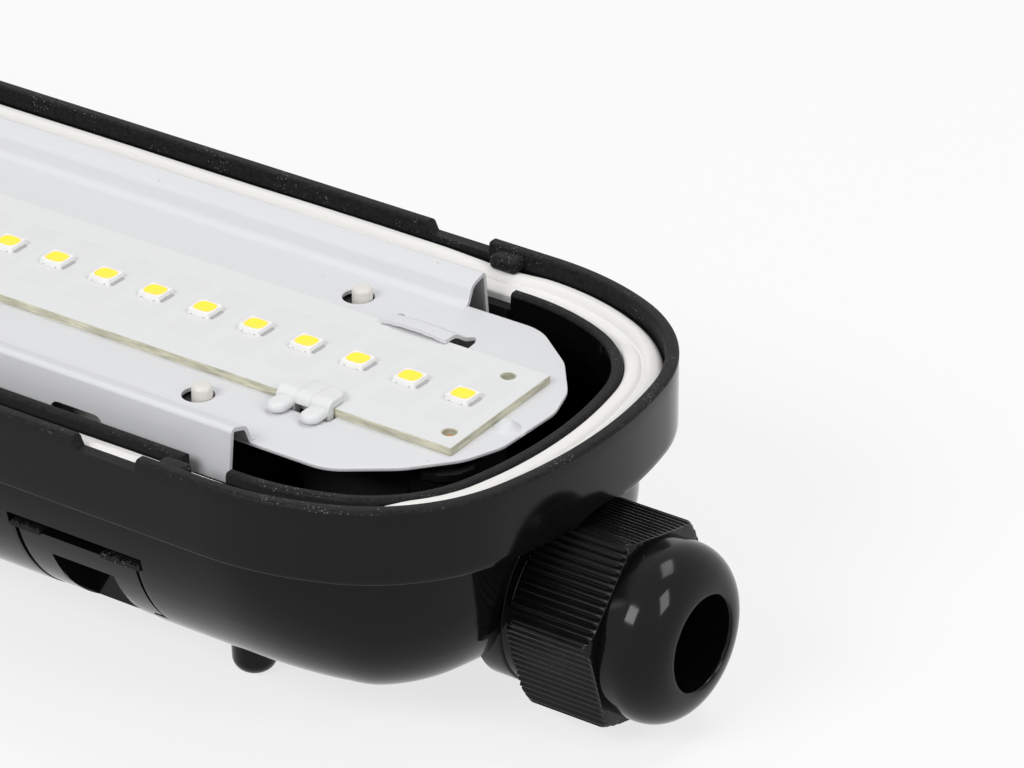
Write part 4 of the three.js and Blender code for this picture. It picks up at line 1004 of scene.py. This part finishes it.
def gasket_height(section, stations, outer, inner, low, top):
    """Heights of the strip: its upper half waves slightly, and its lobes sink in places.

    The inner lobe stands as high as the wall round the nose and sinks along the sides. The outer one is
    pressed down beside the hook blocks. Both fall off with the square of the height in the strip.
    """
    line = stations[:, :2] + stations[:, 2:4] * stations[:, 4:]
    along = np.cumsum(np.linalg.norm(np.diff(line, axis=0, prepend=0), axis=1))
    sway = 0.00004 * np.sin(along * 190) + 0.00004 * np.sin(along * 71 + 1)
    bend = smooth_step((np.abs(stations[:, 2]) - 0.47) / 0.32)
    pressed = near(np.abs(stations[:, 0]), HOOK + 0.0032, 0.0018, 0.0035) * (np.abs(stations[:, 3]) > 0.99)
    upper = np.clip((section[:, 1] - low) / (top - low), 0, 1)
    inward = np.clip((section[:, 0] - outer) / (inner - outer) * 2 - 0.7, 0, 1)
    height = section[:, 1][:, None] + (upper > 0.5)[:, None] * sway[None]
    height = height - (upper ** 2 * inward)[:, None] * (0.00115 * (1 - bend))[None]
    return height - (upper ** 2 * (1 - inward))[:, None] * (0.0004 * pressed)[None]


class FIXTURE_OT_gasket(bpy.types.Operator):
    """Gasket: an extruded foam strip with an outer lobe, a crease and a lower inner lobe"""

    bl_idname = "fixture.gasket"
    bl_label = "Gasket"

    def execute(self, context):
        sizes = context.scene.fixture_housing
        outer = sizes.rim_wall + 0.00006
        inner = sizes.rim_wall + sizes.groove_width - 0.00006
        top, low = RIM - 0.0019, RIM - 0.0060
        section = gasket_section(outer, inner, low, top)
        stations, _ = outline_stations(np.linspace(-0.27, 0.27, 61))
        height = gasket_height(section, stations, outer, inner, low, top)
        points = around(stations, section[:, 0][:, None], height)
        faces = grid_faces(len(section), len(stations), close_rows=True, close_columns=True).tolist()
        piece = mesh_object("gasket_strip", points.reshape(-1, 3), faces, [FINISHES["gasket"]], sharp=60.0)
        outward(piece)
        shade(piece, 60.0)
        stands_for(piece, "housing", "gasket_foam", "gasket")
        return {"FINISHED"}


# Gear tray

# Places along both halves of the tray with a tongue on one side and a board clip on the other
HOLDERS = [0.0185, 0.14085, 0.2632]

# Places of the driver's pegs
PEGS_X = (DRIVER_LOW[0] + 0.0042, DRIVER_HIGH[0] - 0.0042)
PEG_Y = 0.0143


def tray_outline(end_x, half):
    """Outline of the flat: straight sides, and ends of five short stretches rounded into each other."""
    quarter = [(end_x - 0.0123, half), (end_x - 0.0058, half - 0.0049), (end_x - 0.0016, half - 0.0102),
               (end_x, half - 0.0148)]
    right = rounded([(0, half)] + quarter + [(x, -y) for x, y in quarter[::-1]] + [(0, -half)],
                    [0.006, 0.007, 0.007, 0.006, 0.006, 0.007, 0.007, 0.006], 6)[1:-1]
    return np.vstack([right, -right])


def fold_section(gear, top):
    """Section of one folded side, both faces: from the flat over the hump and down the leaning flange.

    The upper face is a bent line, and the lower one lies a sheet's thickness away along its normals.
    """
    half, crown = gear.flat_width / 2, top + gear.hump_rise
    crown_y = half + 0.0032
    line = rounded([
        (half - 0.003, top), (half - 0.0003, top), (half + 0.0006, crown - 0.0008), (crown_y, crown),
        (crown_y + (crown - TRAY_LOW[2]) * np.tan(radians(6)), TRAY_LOW[2])],
        [0.0011, 0.0014, 0.0006], 9)
    line = np.asarray(line, float)
    step = np.gradient(line, axis=0)
    step /= np.linalg.norm(step, axis=1)[:, None]
    normal = np.column_stack([-step[:, 1], step[:, 0]])
    return np.vstack([line, (line - normal * gear.sheet)[::-1]])


def pierce_tray(body, under, top, paint):
    """Cuts the tray's peg holes, tongue and clip openings, the leads' hole and two blind slots."""
    low, high = under - 0.002, top + 0.002
    for x in PEGS_X:
        for side in (-1, 1):
            cut(body, cylinder("hole", 0.00185, low, high, (x - 0.00055, side * PEG_Y, 0), [paint]))
    for place in HOLDERS:
        for end in (-1, 1):
            x = end * place
            cut(body, extruded("tear", tongue_opening(x), low, high, [paint]))
            cut(body, block("opening", (x - 0.0038, -0.01125, low), (x + 0.0038, -0.00965, high),
                            0.0003, [paint]))
    cut(body, cylinder("hole", 0.0035, low, high, (0, 0.0144, 0), [paint], steps=48))
    for end in (-1, 1):
        x = end * (DRIVER_HIGH[0] - 0.0144)
        cut(body, block("slot", (x - 0.0036, -0.0262, top - 0.003), (x + 0.0036, -0.0204, top - 0.0008),
                        0.00109, [paint], 6))


def tongue_opening(x):
    """Outline of the opening round a tongue: a window with a torn ear at each end."""
    ears = [(0.0057, -0.0009), (0.00575, 0.0017), (0.0056, 0.0030), (0.0052, 0.0038), (0.0047, 0.0041),
            (0.0044, 0.0038), (0.0042, 0.0035), (-0.0042, 0.0035), (-0.0044, 0.0037), (-0.0048, 0.0040),
            (-0.0053, 0.0039), (-0.0056, 0.0030), (-0.0058, 0.0016), (-0.0056, -0.0009)]
    return np.array(ears) + [x, BOARD_EDGE]


def tongue(x, top, sheet, paint):
    """A lanced tongue: a strip that rises from the flat in an S and bows over the board's edge.

    Across the strip its height follows half a cosine from the flat to the level over the board; along
    the strip that level falls off with the square of the distance from its middle.
    """
    u = np.linspace(-1, 1, 17)[:, None]
    t = np.append(np.linspace(0, 1, 15), 1.0)[None, :]
    y = np.append(np.linspace(BOARD_EDGE + 0.0039, BOARD_EDGE + 0.0006, 15), BOARD_EDGE - 0.0008)[None, :]
    over = BOARD_TOP + 0.00005 + sheet + 0.00032 * (1 - u ** 2)
    high = top + 0.00001 + (over - top) * (1 - np.cos(pi * t)) / 2
    ragged = 0.00006 * np.sin(u * 23) * np.sin(u * 41 + 1) * (t == 1)
    upper = np.stack([x + 0.00435 * u + 0 * t, y + ragged, high], axis=-1)
    rings = np.concatenate([upper, upper[:, ::-1] - [0, 0, sheet]], axis=1)
    strip = capped_rings("tongue", rings, [paint], sharp=40)
    outward(strip)
    shade(strip, 40)
    return strip


class FIXTURE_OT_gear_tray(bpy.types.Operator):
    """Gear tray: folded enamelled sheet with lanced tongues, clip openings, peg holes, pips and slots"""

    bl_idname = "fixture.gear_tray"
    bl_label = "Gear tray"

    def execute(self, context):
        gear = context.scene.fixture_gear
        paint = FINISHES["tray"]
        top = BOARD_LOW[2]
        under = top - gear.sheet
        body = extruded("gear_tray_sheet", tray_outline(TRAY_HIGH[0], gear.flat_width / 2), under, top,
                        [paint], lip=0.00012)
        hump_x = HALF_LENGTH - 0.0317
        for side in (-1, 1):
            fold = extruded("fold", fold_section(gear, top) * [side, 1], -hump_x, hump_x, [paint], axis="X")
            outward(fold)
            cut(body, fold, "UNION")
        pierce_tray(body, under, top, paint)
        pip = rounded([(0, top + 0.0009), (0.0006, top + 0.0009), (0.00155, top + 0.00002),
                       (0.0022, top - 0.0002), (0, top - 0.0002)], [0.0005, 0.0004, 0.0], 6)
        parts = [body]
        for place in HOLDERS:
            for end in (-1, 1):
                parts.append(tongue(end * place, top, gear.sheet, paint))
        for end in (-1, 1):
            parts.append(turned("pip", pip, (end * (HALF_LENGTH - 0.0116), -0.0012, 0), "Z", [paint], 36))
        parts.append(stud("stud", 0.002, under - 0.0065, under, 0.0003, (0.2805, -0.009, 0),
                          [FINISHES["zinc"]], 32, 3))
        tray = gathered("gear_tray_enamelled", parts, 32.0)
        stands_for(tray, "gear", "tray_enamel", "gear_tray")
        return {"FINISHED"}


# Light boards


def round_cornered(length, width, radius, steps):
    """A rectangle with round corners, corner by corner."""
    a = np.linspace(0, pi / 2, steps + 1)
    x, y = length / 2 - radius, width / 2 - radius
    corners = [(x, y, a), (-x, y, a + pi / 2), (-x, -y, a + pi), (x, -y, a + 3 * pi / 2)]
    return np.vstack([np.column_stack([cx + radius * np.cos(turn), cy + radius * np.sin(turn)])
                      for cx, cy, turn in corners])


def light_source(length, width, height, level):
    """One light source: a body whose walls lean in, a window sunk in its top, and two tinned ends.

    The body's rows go from the foot to the top edge, then in to the window's halo and the window, each
    row a rounded rectangle of its own length, width, radius and height.
    """
    body_length = length - 0.0005
    rows = [(body_length, width, 0.0001, level), (body_length, width, 0.0001, level + height * 0.30),
            (body_length - 0.0002, width - 0.0002, 0.00012, level + height * 0.94),
            (body_length - 0.0003, width - 0.0003, 0.00012, level + height),
            (0.00262, 0.00232, 0.00074, level + height),
            (0.00240, 0.00210, 0.00066, level + height - 0.00003)]
    rings = []
    for row_length, row_width, radius, z in rows:
        flat = round_cornered(row_length, row_width, radius, 2)
        rings.append(np.column_stack([flat, np.full(len(flat), z)]))
    rings = np.stack(rings)
    count, n = rings.shape[:2]
    faces = grid_faces(count, n, close_columns=True).tolist()
    faces.append(list(range((count - 1) * n, count * n)))
    zones = [0] * (n * (count - 2)) + [1] * n + [2]
    parts = [mesh_object("light", rings.reshape(-1, 3), faces,
                         [FINISHES["package"], FINISHES["halo"], FINISHES["phosphor"]], zones, sharp=30)]
    tin = [FINISHES["tin"]]
    for end in (-1, 1):
        parts.append(block("terminal", (end * (body_length / 2 - 0.0001), -width * 0.38, level),
                           (end * length / 2, width * 0.38, level + height * 0.34), 0.00004, tin, 1))
    for end in (-1, 1):
        for side in (-1, 1):
            low = (end * 0.00085 - 0.00012, side * width / 2 - 0.00001, level + 0.00008)
            high = (end * 0.00085 + 0.00012, side * (width / 2 + 0.00001), level + 0.0002)
            parts.append(block("notch", low, high, 0.0, tin, 1))
    return gathered("light", parts, 30)


def slant_end(plate, end):
    """Slants the board's outer end as it was sheared: each point there moves by a share of its own Y."""
    mesh = plate.data
    points = coordinates(mesh)
    outer = end * points[:, 0] > 0.2
    points[outer, 0] -= end * 0.055 * points[outer, 1]
    mesh.vertices.foreach_set("co", points.ravel())
    mesh.update()


def light_board(name, node, end, gear):
    """One board: laminate core, white mask, two holes, bare copper in the outer one, and its lights."""
    low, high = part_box(node)
    x0, x1 = low[0], high[0]
    reach = max(abs(x0), abs(x1))
    core = block("core", (x0, -BOARD_EDGE, BOARD_LOW[2]), (x1, BOARD_EDGE, BOARD_TOP - 0.00004),
                 0.00002, [FINISHES["laminate"]], 1)
    mask = block("mask", (x0 + 0.00005, -BOARD_EDGE + 0.00005, BOARD_TOP - 0.00008),
                 (x1 - 0.00005, BOARD_EDGE - 0.00005, BOARD_TOP), 0.00002, [FINISHES["mask"]], 1)
    for plate in (core, mask):
        slant_end(plate, end)
    inner_hole, outer_hole = (end * (reach - 0.0041), 0.007, 0), (end * (reach - 0.0017), -0.0070, 0)
    for centre in (inner_hole, outer_hole):
        for plate, radius in ((core, 0.0008), (mask, 0.00093)):
            cut(plate, cylinder("hole", radius, BOARD_LOW[2] - 0.001, BOARD_TOP + 0.001, centre,
                                [FINISHES["laminate"]], steps=32))
    copper = cylinder("copper", 0.0005, BOARD_TOP - 0.0006, BOARD_TOP - 0.00055, outer_hole,
                      [FINISHES["copper"]], steps=24)
    first = light_source(gear.light_length, gear.light_width, BOARD_HIGH[2] - BOARD_TOP,
                         BOARD_TOP - 0.00001)
    count = int(round((reach - 0.005) / gear.light_pitch + 0.5))
    lights = repeated("lights", first, [(end * (k + 0.5) * gear.light_pitch, 0, 0) for k in range(count)])
    return gathered(name, [core, mask, copper, lights], 30)


class FIXTURE_OT_light_boards(bpy.types.Operator):
    """Light boards: laminate slabs with white mask, holes, and a row of light sources"""

    bl_idname = "fixture.light_boards"
    bl_label = "Light boards"

    def execute(self, context):
        gear = context.scene.fixture_gear
        for end, name, node in ((1, "board_right", "led_board_a"), (-1, "board_left", "led_board_b")):
            stands_for(light_board(name, node, end, gear), "gear", "board_white", node)
        return {"FINISHED"}


# Board clips: the inner and outer faces of their legs and hooks, and a level low in their feet
CLIP_INNER = -BOARD_EDGE - 0.00015
CLIP_OUTER = CLIP_INNER - 0.001
CLIP_FOOT = BOARD_LOW[2] + 0.0003


def clip_plan(x, half, low_y, high_y):
    """Plan of a clip's head, with four short curves towards the board's middle."""
    return rounded([
        (x - half, low_y), (x + half, low_y), (x + half, high_y - 0.0013), (x + half - 0.0014, high_y),
        (x - half + 0.0014, high_y), (x - half, high_y - 0.0013), (x - half, low_y)],
        [0.0, 0.0010, 0.0010, 0.0010, 0.0010], 5)[:-1]


def clip_arch(left, right, reach, high, plan):
    """A stretch of the head, bent over the board's edge down to a level and trimmed by the plan."""
    nylon = [FINISHES["nylon"]]
    sole, top = BOARD_TOP + 0.00012, high[2]
    bent = rounded([(high[1], sole), (CLIP_INNER, sole), (CLIP_INNER, reach), (CLIP_OUTER, reach),
                    (CLIP_OUTER, top), (high[1], top - 0.00025), (high[1], sole)],
                   [0.0, 0.0, 0.0, 0.0012, 0.0004], 8)[:-1]
    arch = extruded("arch", bent, left, right, nylon, axis="X", sharp=40)
    outward(arch)
    cut(arch, extruded("plan", plan, CLIP_FOOT - 0.002, top + 0.001, nylon), "INTERSECT", 40)
    return arch


def clip_foot(centre, low):
    """A round foot on the tray, and the hook that reaches down through the tray's opening."""
    nylon = [FINISHES["nylon"]]
    left, right = centre - 0.0012, centre + 0.0012
    outline = rounded([(left, CLIP_INNER), (left, low[1] + 0.0012), (left + 0.0012, low[1]),
                       (right, low[1] + 0.0012), (right, CLIP_INNER), (left, CLIP_INNER)],
                      [0.0010, 0.0011, 0.0010, 0.0], 6)[:-1]
    foot = extruded("foot", outline, CLIP_FOOT - 0.0002, CLIP_FOOT + 0.0010, nylon,
                    lip=0.0006, lip_steps=5, sharp=50)
    hook_top = BOARD_LOW[2] - 0.0008 - 0.00015
    wedge = np.array([(CLIP_OUTER, CLIP_FOOT), (CLIP_OUTER, hook_top),
                      (CLIP_OUTER - 0.0008, hook_top - 0.0001), (CLIP_OUTER, low[2]),
                      (CLIP_INNER, low[2]), (CLIP_INNER, CLIP_FOOT)])
    hook = extruded("hook", wedge, left, right, nylon, axis="X")
    outward(hook)
    return [foot, hook]


class FIXTURE_OT_board_clips(bpy.types.Operator):
    """Board clips: a domed head over the board's edge, two legs, two round feet and hooks below"""

    bl_idname = "fixture.board_clips"
    bl_label = "Board clips"

    def execute(self, context):
        for number in range(1, 7):
            node = f"board_clip_{number}"
            low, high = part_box(node)
            x, half = (low[0] + high[0]) / 2, (high[0] - low[0]) / 2
            window, leg = half - 0.0025, CLIP_FOOT + 0.0001
            plan = clip_plan(x, half, low[1], high[1])
            parts = [clip_arch(x - half, x - window, leg, high, plan),
                     clip_arch(x - window + 0.00002, x + window - 0.00002, BOARD_TOP - 0.0001, high, plan),
                     clip_arch(x + window, x + half, leg, high, plan)]
            for side in (-1, 1):
                parts += clip_foot(x + side * (half - 0.00125), low)
            stands_for(gathered(f"clip_{number}", parts, 40), "gear", "clip_nylon", node)
        return {"FINISHED"}


class FIXTURE_OT_driver(bpy.types.Operator):
    """Driver, terminal block and earth parts under the tray, with domed pegs that show above it"""

    bl_idname = "fixture.driver"
    bl_label = "Driver and terminals"

    def execute(self, context):
        for node, finish in (("driver_case", "driver"), ("driver_cover", "driver"),
                             ("terminal_block", "terminal"), ("earth_ring", "zinc"), ("earth_nut", "zinc"),
                             ("grommet", "rubber")):
            finish_node(node, finish)
        top, low = DRIVER_HIGH[2], TERMINAL_LOW[2]
        pegs = []
        for x in PEGS_X:
            for side in (-1, 1):
                pegs.append(stud("peg", 0.00117, top + 0.00001, top - 0.003, 0.0005, (x, side * PEG_Y, 0),
                                 [FINISHES["peg"]], 36, 6))
        stands_for(gathered("driver_pegs", pegs, 40), "gear", "driver_plastic")
        screws = []
        for y in (-0.006, 0.0, 0.006):
            for x in (TERMINAL_LOW[0] + 0.0035, TERMINAL_HIGH[0] - 0.0035):
                screws.append(stud("screw", 0.0015, low - 0.00002, low + 0.0006, 0.0002, (x, y, 0),
                                   [FINISHES["zinc"]], 28, 3))
        stands_for(gathered("terminal_screws", screws, 40), "gear", "plated_steel")
        return {"FINISHED"}


class FIXTURE_OT_leads(bpy.types.Operator):
    """Leads: sleeved wires from the terminal block to the driver and from the driver to the boards"""

    bl_idname = "fixture.leads"
    bl_label = "Leads"

    def execute(self, context):
        for node, finish in (("lead_live", "brown"), ("lead_neutral", "blue"), ("lead_earth", "green"),
                             ("lead_positive", "red"), ("lead_negative", "black"),
                             ("board_link_positive", "red"), ("board_link_negative", "black")):
            finish_node(node, finish)
        return {"FINISHED"}


# Cable gland

# The nut's hexagon: ribs on each flat, distance of a flat from the axis, and radius of a sharp corner
RIBS = 14
APOTHEM = 0.0104
CORNER = APOTHEM / cos(pi / 6)


def nut_section(angle):
    """Radius of the ribbed hexagon and of a plain one at each angle.

    The hexagon is apothem / cos of the angle from the middle of its flat; a rib is the raised part of a
    wave that runs fourteen times along each flat.
    """
    turn = radians(48 - 30)
    local = (angle - turn + pi / 6) % (pi / 3) - pi / 6
    flat = APOTHEM / np.cos(local)
    share = (np.tan(local) / np.tan(pi / 6) + 1) / 2 * RIBS
    wave = np.abs((share % 1) - 0.5) * 2
    depth = 0.0003 * np.clip((wave - 0.25) / 0.6, 0, 1)
    edge = np.clip(np.minimum(share, RIBS - share) / 0.35, 0, 1)
    return flat - depth * edge, flat - 0.00006


def nut_rows(angle, back, tip):
    """Rows of place and radius: the ribbed hexagon, the dome, and the hollow back to the nut's foot.

    The hexagon's corners are turned down to a radius that grows and shrinks along it, and its ribs run
    out towards the dome.
    """
    hexed, smooth_hex = nut_section(angle)
    front = back + 0.0109
    dome_r, hole, inside = 0.01035, 0.0054, SEAL_HIGH[0] + 0.0016
    rows = []
    for x, turned_down in ((0, 0.0008), (0.0003, 0.00045), (0.0008, 0.0001), (0.0012, 0), (0.0055, 0),
                           (0.0099, 0), (0.0102, 0.00003), (0.0104, 0.00012), (0.0106, 0.0003),
                           (0.0108, 0.0006), (0.0109, 0.0010)):
        share = np.clip((0.01065 - x) / 0.0006, 0, 1) ** 0.6
        ribbed = smooth_hex - (smooth_hex - hexed) * share
        rows.append((np.full(len(angle), back + x), np.minimum(ribbed, CORNER - turned_down)))
    dome = rounded([(dome_r - 0.0003, front), (dome_r, tip), (hole, tip), (hole, tip - 0.003)],
                   [0.0046, 0.0005], 16)
    for r, x in np.vstack([dome, [(hole, inside), (0.0083, inside), (0.0083, back)]]):
        rows.append((np.full(len(angle), x), np.full(len(angle), r)))
    return np.array(rows)


class FIXTURE_OT_gland(bpy.types.Operator):
    """Cable gland: ribbed domed nut, seal and thrust ring"""

    bl_idname = "fixture.gland"
    bl_label = "Cable gland"

    def execute(self, context):
        steps = 6 * RIBS * 10
        angle = np.linspace(0, 2 * pi, steps, endpoint=False)
        rows = nut_rows(angle, NUT_LOW[0], NUT_HIGH[0])
        x, r = rows[:, 0], rows[:, 1]
        points = np.stack([x, r * np.cos(angle), GLAND_Z + r * np.sin(angle)], axis=-1)
        faces = grid_faces(len(rows), steps, close_rows=True, close_columns=True)
        zones = np.zeros((len(rows), steps), int)
        zones[:10] = 1
        nut = mesh_object("gland_cap_nut", points.reshape(-1, 3), faces.tolist(),
                          [FINISHES["nut"], FINISHES["ribs"]], zones.reshape(-1), sharp=42.0)
        outward(nut)
        shade(nut, 42.0)
        stands_for(nut, "nut", "nut_plastic", "gland_nut")
        finish_node("gland_seal", "rubber")
        finish_node("gland_thrust_ring", "ring")
        return {"FINISHED"}


# Stage


def lamp(name, place, target, size, power):
    """A square soft lamp at a place, facing a target."""
    light = bpy.data.lights.new(name, "AREA")
    light.shape = "RECTANGLE"
    light.size, light.size_y = size
    light.energy = power
    item = bpy.data.objects.new(name, light)
    item.location = place
    item.rotation_euler = (Vector(target) - Vector(place)).to_track_quat("-Z", "Y").to_euler()
    bpy.context.scene.collection.objects.link(item)


def sheet_on_floor(name, corners, level, finish):
    """A flat sheet of the stage at a level."""
    mesh = bpy.data.meshes.new(name)
    mesh.from_pydata([(x, y, level) for x, y in corners], [], [tuple(range(len(corners)))])
    mesh.materials.append(finish)
    sheet = bpy.data.objects.new(name, mesh)
    bpy.context.scene.collection.objects.link(sheet)
    return sheet


class FIXTURE_OT_stage(bpy.types.Operator):
    """Stage: camera at the photograph's angle, white floor, white surround and soft lamps"""

    bl_idname = "fixture.stage"
    bl_label = "Stage"

    def execute(self, context):
        scene = context.scene
        scene.view_settings.view_transform = "Standard"
        self.add_camera(scene)
        floor = sheet_on_floor("floor", [(-4, -4), (4, -4), (4, 4), (-4, 4)], 0.0, self.floor_finish())
        scene.world = self.surround()
        lamp("front", (0.10, -1.15, 0.95), (0.2, 0, 0), (0.7, 0.5), 12)
        lamp("side", (1.35, -0.12, 0.82), (0.25, 0, 0), (0.35, 0.6), 5)
        lamp("top", (0.42, 0.45, 1.30), (0.2, 0, 0), (0.7, 0.4), 5)
        return {"FINISHED"}

    def add_camera(self, scene):
        """The camera: about 0.64 m from the gland's end, which it looks at a little off the middle."""
        azimuth, elevation, distance = radians(35.64), radians(27.71), 0.64083
        target, beside, above = np.array([0.2765, 0, 0.0322]), 0.00522, 0.00155
        focal_pixels, frame_pixels, sensor = 6000, 1024, 36
        back = np.array([sin(azimuth) * cos(elevation), -cos(azimuth) * cos(elevation), sin(elevation)])
        right = np.array([cos(azimuth), sin(azimuth), 0.0])
        up = np.cross(back, right)
        place = target + back * distance + right * beside + up * above
        camera = bpy.data.cameras.new("camera")
        camera.lens, camera.sensor_width = focal_pixels * sensor / frame_pixels, sensor
        camera.clip_start, camera.clip_end = 0.01, 50
        viewer = bpy.data.objects.new("camera", camera)
        viewer.location = place
        viewer.rotation_euler = (pi / 2 - elevation, 0, azimuth)
        scene.collection.objects.link(viewer)
        scene.camera = viewer

    def surround(self):
        """The world: soft light for the object, and white for the rays that see the background."""
        world = bpy.data.worlds.new("surround")
        world.use_nodes = True
        nodes, links = world.node_tree.nodes, world.node_tree.links
        ground = nodes["Background"]
        ground.inputs["Color"].default_value = (1, 1, 1, 1)
        level = nodes.new("ShaderNodeMapRange")
        level.inputs["To Min"].default_value = 0.42
        level.inputs["To Max"].default_value = 1.0
        links.new(self.background_rays(nodes, links), level.inputs["Value"])
        links.new(level.outputs["Result"], ground.inputs["Strength"])
        return world

    def background_rays(self, nodes, links):
        """1 for camera, glossy and transmission rays, which all see the white background."""
        path = nodes.new("ShaderNodeLightPath")
        value = path.outputs["Is Camera Ray"]
        for kind in ("Is Glossy Ray", "Is Transmission Ray"):
            either = nodes.new("ShaderNodeMath")
            either.operation = "MAXIMUM"
            links.new(value, either.inputs[0])
            links.new(path.outputs[kind], either.inputs[1])
            value = either.outputs["Value"]
        return value

    def floor_finish(self):
        """White floor that keeps a soft shadow and looks white to camera and reflections."""
        material = bpy.data.materials.new("floor white")
        material.use_nodes = True
        nodes, links = material.node_tree.nodes, material.node_tree.links
        nodes.remove(nodes["Principled BSDF"])
        paint = nodes.new("ShaderNodeBsdfDiffuse")
        paint.inputs["Color"].default_value = (0.8, 0.8, 0.8, 1)
        white = nodes.new("ShaderNodeEmission")
        white.inputs["Strength"].default_value = 1.0
        share = nodes.new("ShaderNodeMath")
        share.operation = "MULTIPLY"
        share.inputs[1].default_value = 0.75
        links.new(self.background_rays(nodes, links), share.inputs[0])
        mix = nodes.new("ShaderNodeMixShader")
        links.new(share.outputs["Value"], mix.inputs["Fac"])
        links.new(paint.outputs["BSDF"], mix.inputs[1])
        links.new(white.outputs["Emission"], mix.inputs[2])
        links.new(mix.outputs["Shader"], nodes["Material Output"].inputs["Surface"])
        return material


# Add-on


class FIXTURE_PT_panel(bpy.types.Panel):
    """Sizes, colours and pieces of the light fixture"""

    bl_idname = "FIXTURE_PT_panel"
    bl_label = "Light Fixture"
    bl_space_type = "VIEW_3D"
    bl_region_type = "UI"
    bl_category = "Light Fixture"

    def draw(self, context):
        scene = context.scene
        for group in (scene.fixture_housing, scene.fixture_gear, scene.fixture_colours):
            column = self.layout.column(align=True)
            for name in group.bl_rna.properties.keys():
                if name not in {"rna_type", "name"}:
                    column.prop(group, name)
        for operator in OPERATORS:
            self.layout.operator(operator.bl_idname)


GROUPS = (HousingSizes, GearSizes, FinishColours)
OPERATORS = (FIXTURE_OT_stage, FIXTURE_OT_housing, FIXTURE_OT_gasket, FIXTURE_OT_gear_tray,
             FIXTURE_OT_light_boards, FIXTURE_OT_board_clips, FIXTURE_OT_driver, FIXTURE_OT_leads,
             FIXTURE_OT_gland)


def register():
    for item in GROUPS + OPERATORS + (FIXTURE_PT_panel,):
        bpy.utils.register_class(item)
    bpy.types.Scene.fixture_housing = bpy.props.PointerProperty(type=HousingSizes)
    bpy.types.Scene.fixture_gear = bpy.props.PointerProperty(type=GearSizes)
    bpy.types.Scene.fixture_colours = bpy.props.PointerProperty(type=FinishColours)


def unregister():
    for name in ("fixture_housing", "fixture_gear", "fixture_colours"):
        delattr(bpy.types.Scene, name)
    for item in reversed(GROUPS + OPERATORS + (FIXTURE_PT_panel,)):
        bpy.utils.unregister_class(item)


def main():
    register()
    scene = bpy.context.scene
    make_finishes(scene.fixture_colours, scene.fixture_gear.light_pitch)
    for operator in OPERATORS:
        group, name = operator.bl_idname.split(".")
        getattr(getattr(bpy.ops, group), name)()


if __name__ == "__main__":
    main()
